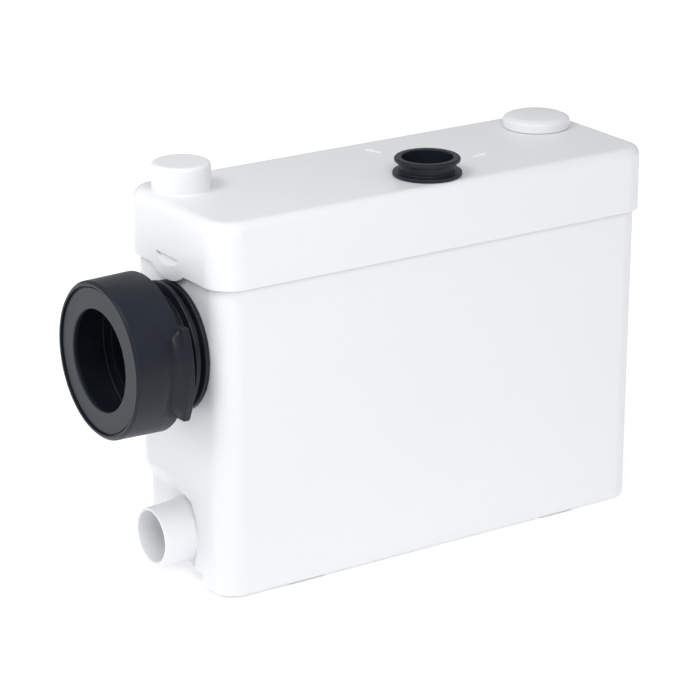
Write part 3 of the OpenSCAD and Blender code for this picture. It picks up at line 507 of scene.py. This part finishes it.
def white_moulding(name):
    """Glossy white plastic: faint cloudiness, a fine moulded grain, slow ripples in the gloss, and
    patches that are a little darker, browner and rougher towards the bottom"""
    settings = bpy.context.scene.pump_shell
    bottom_patch_height, bottom_patch_colour = 0.05, (0.62, 0.60, 0.56)
    material, at = begin(name)
    cloud, grain, ripple = at.noise(7.0, 3.0), at.noise(1400.0), at.noise(55.0)
    # Patches a little darker and browner towards the bottom, fading out over the lowest 5 cm
    low = 1.0 - at.split()[2].span(0.0, bottom_patch_height)
    bottom_patches = low * at.noise(160.0, 4.0).span(0.45, 0.75)
    colour = cloud.tint(shade(settings.colour, 0.985), shade(settings.colour, 1.012))
    colour = (bottom_patches * 0.10).tint(colour, bottom_patch_colour)
    rough = settings.shine + (cloud - 0.5) * 0.10 + (grain - 0.5) * 0.06 + bottom_patches * 0.12
    return surface(material, at, grain * 0.35 + ripple, 0.07, {
        "Base Color": colour, "Roughness": rough, "IOR": 1.47, "Specular IOR Level": 0.45,
        "Coat Weight": 0.12, "Coat Roughness": 0.22})


def black_rubber(name):
    """Satin black rubber: fine skin grain, greyer bloom in patches and faint scuffs"""
    settings = bpy.context.scene.pump_rubber
    material, at = begin(name)
    grain, bloom = at.noise(1100.0, 3.0), at.noise(26.0, 3.0)
    scuff = at.stretch(1.0, 4.0, 9.0).noise(60.0, 4.0)
    patches = bloom.span(0.42, 0.72)
    colour = patches.tint(settings.colour, shade(settings.colour, 1.22))
    colour = (scuff.span(0.62, 0.80) * 0.35).tint(colour, shade(settings.colour, 1.8))
    rough = settings.shine + (grain - 0.5) * 0.10 + patches * 0.06
    return surface(material, at, grain + scuff * 0.4, 0.02, {
        "Base Color": colour, "Roughness": rough, "IOR": 1.34, "Specular IOR Level": 0.5})


def dull_plastic(name, colour, rough):
    """Matt moulded plastic: spark-eroded grain, flow clouds and small specks"""
    material, at = begin(name)
    grain, cloud, speck = at.noise(900.0, 3.0), at.noise(30.0, 3.0), at.noise(420.0, 1.0)
    tone = cloud.tint(shade(colour, 0.92), shade(colour, 1.06))
    tone = (speck.span(0.66, 0.74) * 0.4).tint(tone, shade(colour, 0.7))
    return surface(material, at, grain + cloud * 0.3, 0.12, {
        "Base Color": tone, "Roughness": rough + (grain - 0.5) * 0.2, "IOR": 1.48})


def brushed_steel(name):
    """Stainless steel with fine lines along the axis of the motor and cloudy gloss"""
    material, at = begin(name)
    lines, cloud = at.stretch(1.0, 60.0, 60.0).noise(40.0, 4.0), at.noise(38.0)
    colour = lines.tint((0.54, 0.55, 0.57), (0.68, 0.69, 0.71))
    return surface(material, at, lines, 0.04, {
        "Base Color": colour, "Metallic": 1.0, "Roughness": 0.24 + lines * 0.14 + cloud * 0.08})


def cast_metal(name):
    """Die-cast alloy: pitted skin, darker in the pits"""
    material, at = begin(name)
    pits, cloud = at.noise(620.0, 4.0, 0.62), at.noise(24.0, 3.0)
    colour = (pits * 0.7 + cloud * 0.3).tint((0.42, 0.43, 0.45), (0.70, 0.71, 0.72))
    return surface(material, at, pits, 0.22, {
        "Base Color": colour, "Metallic": 0.9, "Roughness": 0.40 + pits * 0.22})


def laminations(name):
    """Stack of iron sheets, one in each millimetre: a wave along X, with a rust tint in patches"""
    material, at = begin(name)
    sheet = (at.split()[0] * (2 * math.pi / MM)).wave()
    cloud = at.noise(60.0, 3.0)
    colour = sheet.tint((0.11, 0.10, 0.10), (0.30, 0.31, 0.33))
    colour = (cloud.span(0.55, 0.8) * 0.4).tint(colour, (0.20, 0.12, 0.08))
    return surface(material, at, sheet, 0.15, {
        "Base Color": colour, "Metallic": 0.85, "Roughness": 0.42 + cloud * 0.2})


def wound_copper(name):
    """Enamelled wire laid round the coil head: a wave on the angle about the shaft, twisted
    along X"""
    wires, twist = 150.0, 2600.0
    material, at = begin(name)
    x, y, z = at.split()
    wire = (x.math("ARCTAN2", z - SHAFT_Z * MM, y) * wires + x * twist).wave()
    cloud = at.noise(90.0, 3.0)
    colour = (wire * 0.8 + cloud * 0.2).tint((0.20, 0.06, 0.02), (0.62, 0.28, 0.11))
    return surface(material, at, wire, 0.5, {
        "Base Color": colour, "Metallic": 0.8, "Roughness": 0.30 + cloud * 0.2,
        "Coat Weight": 0.5})


def carbon_felt(name):
    """Felt of carbon fibre: crossing stretched noise with deep relief"""
    material, at = begin(name)
    first = at.stretch(1.0, 9.0, 3.0).noise(320.0, 4.0)
    second = at.stretch(9.0, 1.0, 3.0).noise(320.0, 4.0)
    fibre = first.math("MAXIMUM", first, second)
    colour = fibre.span(0.4, 0.8).tint((0.015, 0.015, 0.016), (0.13, 0.13, 0.135))
    return surface(material, at, fibre, 0.6, {
        "Base Color": colour, "Roughness": 0.75 + fibre * 0.2})


def lapped_ceramic(name):
    """Lapped seal ring: fine rings about the shaft over a speckled body"""
    fineness = 16000.0
    material, at = begin(name)
    x, y, z = at.split()
    up = z - SHAFT_Z * MM
    lapping = (x.math("SQRT", y * y + up * up) * fineness).wave()
    speck = at.noise(700.0)
    colour = (speck * 0.7 + lapping * 0.3).tint((0.50, 0.48, 0.43), (0.80, 0.78, 0.72))
    return surface(material, at, lapping, 0.03, {
        "Base Color": colour, "Roughness": 0.18 + speck * 0.2})


# How each slot's material is made, its name, and a plain plastic's colour and roughness
FINISHES = {
    "white_shell": (white_moulding, "white_moulding"),
    "black_rubber": (black_rubber, "satin_rubber"),
    # Light grey rubber; on the foot pads under the tank this grey is partly painted shade, standing
    # for white feet in the tank's shadow
    "pale_rubber": (dull_plastic, "grey_rubber", (0.58, 0.59, 0.60), 0.6),
    "carbon_felt": (carbon_felt, "fibre_felt"),
    "stainless": (brushed_steel, "brushed_steel"),
    "grey_plastic": (dull_plastic, "grey_moulding", (0.36, 0.38, 0.40), 0.5),
    "pale_plastic": (dull_plastic, "pale_moulding", (0.72, 0.71, 0.64), 0.42),
    "black_plastic": (dull_plastic, "black_moulding", (0.030, 0.031, 0.034), 0.46),
    "seal_ceramic": (lapped_ceramic, "lapped_ceramic"),
    "cast_alloy": (cast_metal, "cast_metal"),
    "iron_laminations": (laminations, "laminations"),
    "copper_wire": (wound_copper, "wound_copper"),
}


def finish_for(slot):
    """The material of a slot, made once. Its name is not the slot's, which the solids' own plain
    material has."""
    maker, name, *rest = FINISHES[slot]
    return bpy.data.materials.get(name) or maker(name, *rest)


# Pieces

def tank_wall(settings):
    """The tank's wall: a section carried round a tapering rounded rectangle, its lower left end
    shifted along X by step S(z) W(y, z), with S falling from 1 to 0 up the slope and W rising from
    0 to 1 across a border. The border is the front half of an ellipse round the spigot's root,
    and swings to the back up the slope."""
    wall, corner = settings.wall / MM, settings.corner / MM
    floor_z, under_z, deep = BASE_Z + 13.5, BASE_Z + 10, 14
    # The rows lie closest on the slope of the left end
    heights = np.concatenate([np.linspace(22, 56, 5), np.linspace(59, 82, 24),
                              np.linspace(92, RIM_Z - 6, 12)])
    path = np.concatenate([
        rounded([(deep, floor_z), (wall, floor_z), (wall, 20)], [3], closed=False),
        upright(wall, heights),
        rounded([(wall, RIM_Z - 3), (wall, RIM_Z), (0, RIM_Z), (0, RIM_Z - 3)], 0.6, 4,
                closed=False),
        upright(0, heights[::-1]),
        rounded([(0, 14), (0, BASE_Z), (wall, BASE_Z), (wall, under_z), (deep, under_z)],
                [0.9, 0.6, 2], closed=False)])
    shape = outline(64, 14, 14)
    drop = (RIM_Z - path[:, 1]) / (RIM_Z - BASE_Z)
    points = rings(shape, TANK_HALF[0] - drop * settings.draft_length / MM,
                   TANK_HALF[1] - drop * settings.draft_depth / MM, corner, path)

    root_y, root_z, swing, slope_low, slope_high = 22, 30, 12, 64, 77
    narrow, wide = 2, 12
    u, v, nx, _ = shape.T
    y, z = v * (TANK_HALF[1] - corner), path[:, 1:]
    ellipse = root_y * np.sqrt(np.clip(1 - ((z - SPIGOT_Z) / root_z) ** 2, 0, 1))
    border = swing * ease(z, 60, slope_high) - ellipse
    blur = narrow + (wide - narrow) * ease(z, 55, 66)
    behind = np.where(nx < -FLAT, ease(y, border - blur, border + blur), 0)
    behind = np.minimum(behind + ((u < -FLAT) & (v > FLAT) & (nx > -FLAT)), 1)
    slope = np.clip((slope_high - z) / (slope_high - slope_low), 0, 1)
    points[..., 0] += settings.step / MM * (0.6 * slope + 0.4 * ease(slope, 0, 1)) * behind
    return points + [MID_X, 0, 0]


def make_tank(settings):
    """Tank: its wall, with holes and foot notches cut through; the spigot turned about its axis;
    catches, lugs, ledges, shelf and foot bosses as closed forms that run into the walls."""
    collar_hole, spigot_hole, gland_hole = 44.1, 21.3, 10.15
    notch_half, notch_low, notch_top = 31, -5, 12
    notch = rounded([(-notch_half, notch_low), (notch_half, notch_low), (notch_half, notch_top),
                     (-notch_half, notch_top)], 1.2, 5)
    mesh = cut(Skin().shell(tank_wall(settings)).mesh(), [
        prism_x(disc(collar_hole, 0, COLLAR_Z), LEFT_X - 9, LEFT_X + 12),
        prism_x(disc(spigot_hole, 0, SPIGOT_Z), LEFT_X - 5, LEFT_X + 22),
        prism_x(disc(gland_hole, GLAND_AXIS[1], GLAND_AXIS[2]), RIGHT_X - 9, RIGHT_X + 9),
        prism_x(notch, LEFT_X - 9, LEFT_X + 14),
        prism_x(notch, RIGHT_X - 12, RIGHT_X + 9)])

    extra = Skin()
    bore, pipe, root, end = 20, 22, 24.8, LEFT_X - SPIGOT_END
    spigot = profile([(bore, -9, 0.4), (root, -9, 0.6), (root, -4.6, 2), (23, 0.5, 12),
                      (pipe, end, 0.9), (bore, end, 0.9)], 7)
    extra.shell(revolve(spigot, (LEFT_X, 0, SPIGOT_Z), LEFTWARD, 112), loop=True)

    gap, proud, lean, bevel = 0.12, 1.3, 0.9, 0.22
    core, shrink = np.array([0, TONGUE_Y, 250]), np.array([1, 0.985, 0.97])
    lug_y, ledge_y, foot_x, foot_y, shelf = 15, 58.2, 118, 53.8, 22
    lug_z, ledge_z, foot_z, shelf_z = (60.5, 70), (146, 152), (6.2, 13), (246, 252)
    for side in (-1, 1):
        back, face = prism_x(half_moon(gap), side * (TANK_HALF[0] - 3),
                             side * (TANK_HALF[0] + proud))
        face[:, 0] += side * lean * ease(WINDOW_TOP_Z - face[:, 2], 0.5, 6.8)
        tip = shrink * (face - core) + core + [side * bevel, 0, 0]
        extra.shell(np.stack([back, face, tip]) + [MID_X, 0, 0])
        extra.shell(block((LEFT_X + 8, LEFT_X + 18.2), about(side * lug_y, 2), lug_z, 1.2))
        extra.shell(block((RIGHT_X - 107.5, RIGHT_X - 27.5), about(side * ledge_y, 3.7), ledge_z))
        for x in (-foot_x, foot_x):
            extra.shell(block(about(MID_X + x, 20), about(side * foot_y, 8.2), foot_z))
    extra.shell(block((LEFT_X + 2, BOSS_AXIS[0] + shelf),
                      (BOSS_AXIS[1] - shelf, TANK_HALF[1] - 2), shelf_z, 16.4))
    place("tank_shell", join(mesh, extra.mesh()), "white_shell", ["tank"])


def make_lid(settings):
    """Lid: a section with a rounded upper edge carried round a rounded rectangle; at both ends the
    skirt's lower edge drops by the arc z = sqrt(r r - y y) - r + d of the tongue; holes and
    half-moon windows cut through; the boss, the vent's collar and the inner rib turned or carried
    as closed forms."""
    wall, edge = settings.lid_wall / MM, settings.lid_edge / MM
    gap = LID_HALF[0] - TANK_HALF[0]
    corner = settings.corner / MM + gap
    skirt_z, roof_z, deep = TOP_Z - 50.5, TOP_Z - wall, 15
    heights = np.linspace(skirt_z + 3, TOP_Z - 14, 14)
    path = np.concatenate([
        rounded([(deep, roof_z), (wall, roof_z), (wall, TOP_Z - 13)], [edge - wall], 9,
                closed=False),
        upright(wall, heights[::-1]),
        rounded([(wall, skirt_z + 2), (wall, skirt_z), (0, skirt_z), (0, skirt_z + 2)],
                [0.4, 0.7], 5, closed=False),
        upright(0, heights),
        rounded([(0, TOP_Z - 13), (0, TOP_Z), (deep, TOP_Z)], [edge], 13, closed=False)])
    shape = outline(90, 14, 18)
    points = rings(shape, LID_HALF[0], LID_HALF[1], corner, path)
    tongue_half, drop = 22.5, skirt_z - LID_LOW[2]
    r = (tongue_half ** 2 + drop ** 2) / (2 * drop)
    y, z = points[..., 1] - TONGUE_Y, points[..., 2]
    arc = np.sqrt(np.maximum(r ** 2 - y ** 2, 0)) - r + drop
    hang = np.where(np.abs(shape[:, 2]) > FLAT, np.maximum(arc, 0), 0)
    points[..., 2] -= hang * (1 - ease(z, skirt_z + 2, skirt_z + 14))

    def well(point, radius):
        """A round hole through the roof"""
        return turned(np.array([(radius, RIM_Z), (radius, TOP_Z + 9)]), point)

    outlet_hole, vent_hole, boss_hole = 21.15, 15, 19.5
    mesh = cut(Skin().shell(points + [MID_X, 0, 0]).mesh(), [
        well(OUTLET_AXIS, outlet_hole), well(VENT_AXIS, vent_hole), well(BOSS_AXIS, boss_hole),
        prism_x(half_moon(), LID_LOW[0] - 3, LID_LOW[0] + wall + 3),
        prism_x(half_moon(), LID_HIGH[0] - wall - 3, LID_HIGH[0] + 3)])

    extra = Skin()
    boss_in, boss_out, foot_out, core = 19.45, 22.2, 24, 1
    ceiling_z, sunk_z, foot_z = BOSS_TOP_Z - wall, roof_z + 0.3, TOP_Z - 0.05
    boss = rounded([(core, ceiling_z), (boss_in, ceiling_z), (boss_in, sunk_z),
                    (foot_out, sunk_z), (foot_out, foot_z), (boss_out, foot_z),
                    (boss_out, BOSS_TOP_Z), (core, BOSS_TOP_Z)],
                   [1.5, 0.2, 0.2, 0.2, 1.7, 3.2], 9, closed=False)
    extra.shell(turned(boss, BOSS_AXIS, around=112))
    collar_in, collar_out, collar_z = 18, 21, TOP_Z + 5
    collar = profile([(vent_hole, roof_z + 0.2, 0.2), (collar_out, roof_z + 0.2, 0.2),
                      (collar_out, collar_z, 0.8), (collar_in, collar_z, 0.8),
                      (collar_in, TOP_Z + 0.1, 0.4), (vent_hole, TOP_Z + 0.1, 0.4)], 5)
    extra.shell(turned(collar, VENT_AXIS), loop=True)
    rib_in, rib_z = gap + 3.5, SEAL_HIGH[2]
    rib = rounded([(gap, rib_z), (rib_in, rib_z), (rib_in, sunk_z), (gap, roof_z - 3.5)], 0.4, 3)
    ring = rings(outline(4, 6, 10), LID_HALF[0], LID_HALF[1], corner, rib)
    extra.shell(ring + [MID_X, 0, 0], loop=True)
    place("lid_shell", join(mesh, extra.mesh()), "white_shell", ["lid"])


def make_arrows():
    """Two low raised arrows on the lid: an arrow outline between two heights"""
    heights = TOP_Z - 0.2, TOP_Z + 0.35
    arrow = np.array([(-8, -0.9), (2, -0.9), (2, -3), (8, 0), (2, 3), (2, 0.9), (-8, 0.9)])
    skin = Skin()
    for x, y, turn in ((8.6, 38.9, 1.9), (70.4, -16.0, 0.15)):
        c, s = math.cos(turn), math.sin(turn)
        flat = arrow @ np.array([[c, s], [-s, c]]) + [MID_X + x, y]
        skin.shell(np.stack([np.insert(flat, 2, z, 1) for z in heights]))
    place("lid_arrows", skin.mesh(), "white_shell",
          material=dull_plastic("white_mark", (0.95, 0.95, 0.95), 0.4))


def make_pan_collar(settings):
    """Pan collar: its section turned about X, with a scoop in each side of the drum where the
    radius dips by 2.4 mm towards the ear, and two ears. An ear is a section of (distance out,
    reach) at each height: a slightly hollow ramp from the scoop's floor out to the ear's edge,
    which lies on an arc of 80 mm radius, then a flat side and a flat back. The ramp is the curve
    (1 - t)(1 - t) a + 2 t (1 - t) b + t t c of three points."""
    front = LEFT_X - box_mm("wc_inlet_sleeve")[0][0]
    face, back = front - 1.5, 27.0
    lip, neck_in, neck_out, drum_in, drum_out = 38.3, 40, 42.5, 52, 60
    hook, groove, near_rib, far_rib = 47, 44, 49, 50
    section = refine(profile([
        (neck_in, -7.65, 0.3), (hook, -7.65, 0.8), (hook, -3.65, 0.5), (groove, -3.65, 0.3),
        (groove, 0.15, 0.3), (near_rib, 0.15, 1), (near_rib, 4, 1), (neck_out, 4, 0.8),
        (neck_out, 8.5, 0.8), (far_rib, 8.5, 1.2), (far_rib, 12.5, 1.2), (neck_out, 12.5, 0.8),
        (neck_out, back, 1.2), (drum_out, back, 0.6),
        (59.2, front - 2, 0.4), (57.2, front, 0.4), (55.5, front, 0.4),
        (55.5, face - 1.2, 0.3), (54.2, face - 1.2, 0.3), (54.2, face, 0.4), (lip, face, 1.2),
        (lip, face - 4, 0.8), (drum_in, face - 4, 1), (drum_in, back + 5, 1),
        (neck_in, back + 5, 0.3)], 6), 1.6)

    low, high, depth, lead = -38.5, 32.5, 2.4, 8.0

    def share(height):
        """How much of the scoop there is at a height: 1 along the ear, 0 past its ends"""
        return ease(height, low, low + 10.5) * (1 - ease(height, high - 6.5, high))

    around, outside = 240, 56
    radius, out = section[:, :1], section[:, 1:]
    z = -radius * np.sin(angles(around))
    start = back + lead * share(z)
    dip = depth * share(z) * (1 - ease(out, start - 1, start + 10)) * (radius > outside)
    skin = Skin().shell(revolve(section, (LEFT_X, 0, COLLAR_Z), LEFTWARD, around,
                                1 - dip / radius), loop=True)

    tip, arc, arc_z, arc_in, ground, root = 1.2, 80, 2.5, 17, 59.7, 43
    z = np.concatenate([np.linspace(low, low + tip, 5), np.linspace(low + 1.5, high - 1.5, 45),
                        np.linspace(high - tip, high, 5)])[:, None]
    q = 1 - np.minimum(z - low, high - z) / tip
    soft = tip * (1 - np.sqrt(1 - np.clip(q, 0, 1) ** 2))
    reach = np.sqrt(arc ** 2 - (z + arc_z) ** 2) - arc_in - soft
    floor = np.sqrt(ground ** 2 - z ** 2) - 0.4 - depth * share(z)
    start = back + lead * share(z)
    edge, side = back - 0.2, settings.ear_side / MM
    bend = edge + 0.35 * (start - edge), floor + 0.14 * (reach - floor)
    t = np.linspace(0, 1, 14)
    ramp = [(1 - t) ** 2 * a + 2 * t * (1 - t) * b + t ** 2 * c
            for a, b, c in zip((start, floor), bend, (edge, reach))]
    inner, behind, under = np.minimum(start, 30), edge - side - 0.5, floor - 1.5
    corners = [(ramp[0] - soft, ramp[1]), (edge - 0.3, reach + 0.2), (edge - side, reach + 0.2),
               (behind, reach - 0.3), (behind, root), (inner, root), (inner, under),
               (start, under)]
    out, wide = (np.hstack([k + np.zeros_like(z) for k in column]) for column in zip(*corners))
    for mirror in (-1, 1):
        skin.shell(np.stack([LEFT_X - out, mirror * wide, COLLAR_Z + z + 0 * out], -1))
    place("pan_collar", skin.mesh(), "black_rubber", ["wc_inlet_sleeve"])


def make_discharge_sleeve():
    """Discharge sleeve: its section turned about Z, with a hollow waist between the lip and the
    flange"""
    top = box_mm("outlet_sleeve")[1][2] - TOP_Z
    bore, flange, lip = 19.5, 26.3, 25
    section = profile([
        (bore, -7.75, 0.4), (17.15, -7.75, 0.3), (17.15, -16.75, 0.4), (20.5, -16.75, 0.4),
        (20.5, -5.75, 0.5), (23.3, -5.75, 0.5), (23.3, -2.9, 0.5), (21, -2.9, 0.4),
        (21, 0.15, 0.4), (flange, 0.15, 0.9), (flange, 3, 0.9), (21.4, 3.2, 0.8),
        (22.3, top - 3.7, 0.9), (lip, top - 2.9, 0.6), (lip, top - 0.9, 0.5), (24, top, 0.5),
        (bore, top, 0.9)], 6)
    skin = Skin().shell(turned(section, OUTLET_AXIS, TOP_Z, 128), loop=True)
    place("discharge_sleeve", skin.mesh(), "black_rubber", ["outlet_sleeve"])


def make_vent_cap():
    """Vent cap: a hollow cap turned about Z, with an upright side, a sloping shoulder and a
    slightly domed top"""
    low, high = box_mm("vent_cap")
    r, h = (high[0] - low[0]) / 2, high[2] - low[2]
    bore, rim_z, core = 21.3, 0.25, 1
    path = rounded([(core, h - 3), (bore, h - 3), (bore, rim_z), (r, rim_z), (r, h - 3.2),
                    (r - 4.6, h - 0.9), (r * 0.45, h - 0.1), (core, h)],
                   [0.8, 0.5, 0.8, 2.4, 9, 14], 9, closed=False)
    skin = Skin().shell(turned(path, VENT_AXIS, low[2], 112))
    place("vent_cap_cover", skin.mesh(), "white_shell", ["vent_cap"], body="cap")


def make_gland_nut():
    """Dome nut of the cable gland: a domed section turned about X whose radius swells by a small
    cosine of the angle, so that grip ridges run along it"""
    low, high = box_mm("gland_nut")
    length, grip = high[0] - low[0], 0.96 * (high[2] - low[2]) / 2
    thread, bore, ridges, swell, around = 10.05, 4, 20, 0.022, 240
    section = profile([
        (thread, 0.2, 0.3), (grip, 0.2, 0.9), (grip, length * 0.52, 3.2), (8.4, length - 0.8, 1.2),
        (6.2, length, 0.6), (bore, length, 0.6), (bore, length - 1.95, 0.2),
        (thread, length - 1.95, 0.3)], 7)
    fade = ease(section[:, :1], 10.2, 12) * ease(length * 0.75 - section[:, 1:], 0, 2.5)
    ridge = 1 + swell * fade * np.cos(ridges * angles(around))
    centre = (low[0], GLAND_AXIS[1], GLAND_AXIS[2])
    skin = Skin().shell(revolve(section, centre, RIGHTWARD, around, ridge), loop=True)
    place("gland_dome_nut", skin.mesh(), "black_plastic", ["gland_nut"])


def dress_solids():
    """Gives every solid that keeps its shape the finish of its slot"""
    for part in frame["record"]["subparts"]:
        mesh = frame["nodes"][part["node"]].data
        mesh.materials.clear()
        mesh.materials.append(finish_for(part["material_slot"]))


def look(obj, place, target):
    """Puts a light or camera at a place, turned to a target"""
    direction = Vector(target) - Vector(place)
    obj.location = place
    obj.rotation_euler = direction.to_track_quat("-Z", "Y").to_euler()


def make_stage(settings):
    """Floor, lights and camera. The floor is a flat grid that glows more towards the back, where
    the lights fall off; the camera looks from its place to its target."""
    scene = bpy.context.scene
    half, count = 6, 13
    side, step = np.linspace(-half, half, count), np.arange(count - 1)
    x, y = np.meshgrid(side, side, indexing="ij")
    corner = (step[:, None] * count + step).reshape(-1, 1)
    mesh = bpy.data.meshes.new("floor")
    mesh.from_pydata(np.stack([x, y, np.zeros_like(x)], -1).reshape(-1, 3).tolist(), [],
                     (corner + [0, count, count + 1, 1]).tolist())
    material, at = begin("pale_floor")
    tone = at.noise(3.0).tint(shade(settings.floor, 0.995), settings.floor)
    x, y, _ = at.split()
    away = (x * 0.46 + y * 0.888).span(-0.4, 0.9)
    surface(material, at, at.noise(300.0), 0.02, {
        "Base Color": tone, "Roughness": 0.9, "Specular IOR Level": 0.0,
        "Emission Color": away.tint(shade(settings.floor, 0.3), settings.floor),
        "Emission Strength": settings.glow})
    mesh.materials.append(material)
    floor = add("floor", mesh)

    world = bpy.data.worlds.new("white_surround")
    world.use_nodes = True
    background = world.node_tree.nodes["Background"]
    background.inputs["Color"].default_value = (1.0, 1.0, 1.0, 1.0)
    background.inputs["Strength"].default_value = settings.sky
    scene.world = world

    for name, power, width, height, spot, target in (
            ("key_light", settings.key, 1.0, 1.0, (-0.6, -1.45, 1.35), (0.0, 0.0, 0.15)),
            ("top_light", settings.top, 0.45, 0.45, (-0.8, -0.15, 1.12), (-0.15, 0.0, 0.2)),
            ("end_light", settings.end, 0.9, 0.4, (-0.95, 0.55, 0.28), (-0.15, 0.0, 0.16))):
        light = bpy.data.lights.new(name, "AREA")
        light.shape, light.energy = "RECTANGLE", power
        light.size, light.size_y = width, height
        look(add(name, light), spot, target)

    camera = bpy.data.cameras.new("camera")
    camera.lens, camera.sensor_width, camera.clip_end = settings.lens, 36.0, 50.0
    scene.camera = add("camera", camera)
    look(scene.camera, settings.camera_place, settings.camera_target)
    scene.view_settings.view_transform = "Standard"


# Operators and panel

class PUMP_OT_tank(bpy.types.Operator):
    """Builds the white tank with its low spigot"""
    bl_idname = "pump.tank"
    bl_label = "Tank"

    def execute(self, context):
        make_tank(context.scene.pump_shell)
        return {"FINISHED"}


class PUMP_OT_lid(bpy.types.Operator):
    """Builds the lid with its boss, tongues and raised arrows"""
    bl_idname = "pump.lid"
    bl_label = "Lid"

    def execute(self, context):
        make_lid(context.scene.pump_shell)
        make_arrows()
        return {"FINISHED"}


class PUMP_OT_pan_collar(bpy.types.Operator):
    """Builds the rubber pan collar"""
    bl_idname = "pump.pan_collar"
    bl_label = "Pan collar"

    def execute(self, context):
        make_pan_collar(context.scene.pump_rubber)
        return {"FINISHED"}


class PUMP_OT_discharge_sleeve(bpy.types.Operator):
    """Builds the rubber discharge sleeve on the lid"""
    bl_idname = "pump.discharge_sleeve"
    bl_label = "Discharge sleeve"

    def execute(self, context):
        make_discharge_sleeve()
        return {"FINISHED"}


class PUMP_OT_vent_cap(bpy.types.Operator):
    """Builds the vent cap"""
    bl_idname = "pump.vent_cap"
    bl_label = "Vent cap"

    def execute(self, context):
        make_vent_cap()
        return {"FINISHED"}


class PUMP_OT_gland_nut(bpy.types.Operator):
    """Builds the ridged dome nut of the cable gland"""
    bl_idname = "pump.gland_nut"
    bl_label = "Gland nut"

    def execute(self, context):
        make_gland_nut()
        return {"FINISHED"}


class PUMP_OT_finishes(bpy.types.Operator):
    """Gives the solids that keep their shape their finishes"""
    bl_idname = "pump.finishes"
    bl_label = "Finishes"

    def execute(self, context):
        dress_solids()
        return {"FINISHED"}


class PUMP_OT_stage(bpy.types.Operator):
    """Sets up the floor, the lights and the camera"""
    bl_idname = "pump.stage"
    bl_label = "Stage"

    def execute(self, context):
        make_stage(context.scene.pump_stage)
        return {"FINISHED"}


SETTINGS = {"pump_shell": ShellSettings, "pump_rubber": RubberSettings, "pump_stage": StageSettings}
OPERATORS = (PUMP_OT_stage, PUMP_OT_tank, PUMP_OT_lid, PUMP_OT_pan_collar,
             PUMP_OT_discharge_sleeve, PUMP_OT_vent_cap, PUMP_OT_gland_nut, PUMP_OT_finishes)


class PUMP_PT_sidebar(bpy.types.Panel):
    """Lists the pump's pieces and settings"""
    bl_idname = "PUMP_PT_sidebar"
    bl_label = "Macerator pump"
    bl_space_type = "VIEW_3D"
    bl_region_type = "UI"
    bl_category = "Pump"

    def draw(self, context):
        for operator in OPERATORS:
            self.layout.operator(operator.bl_idname)
        for name, group in SETTINGS.items():
            box = self.layout.box()
            for key in group.__annotations__:
                box.prop(getattr(context.scene, name), key)


CLASSES = (*SETTINGS.values(), *OPERATORS, PUMP_PT_sidebar)


def register():
    """Adds the settings, the operators and the panel"""
    for cls in CLASSES:
        bpy.utils.register_class(cls)
    for name, group in SETTINGS.items():
        setattr(bpy.types.Scene, name, bpy.props.PointerProperty(type=group))


def unregister():
    """Takes the settings, the operators and the panel away again"""
    for name in SETTINGS:
        delattr(bpy.types.Scene, name)
    for cls in reversed(CLASSES):
        bpy.utils.unregister_class(cls)


def main():
    """Builds every piece and the stage"""
    register()
    bpy.ops.pump.stage()
    bpy.ops.pump.tank()
    bpy.ops.pump.lid()
    bpy.ops.pump.pan_collar()
    bpy.ops.pump.discharge_sleeve()
    bpy.ops.pump.vent_cap()
    bpy.ops.pump.gland_nut()
    bpy.ops.pump.finishes()


if __name__ == "__main__":
    main()
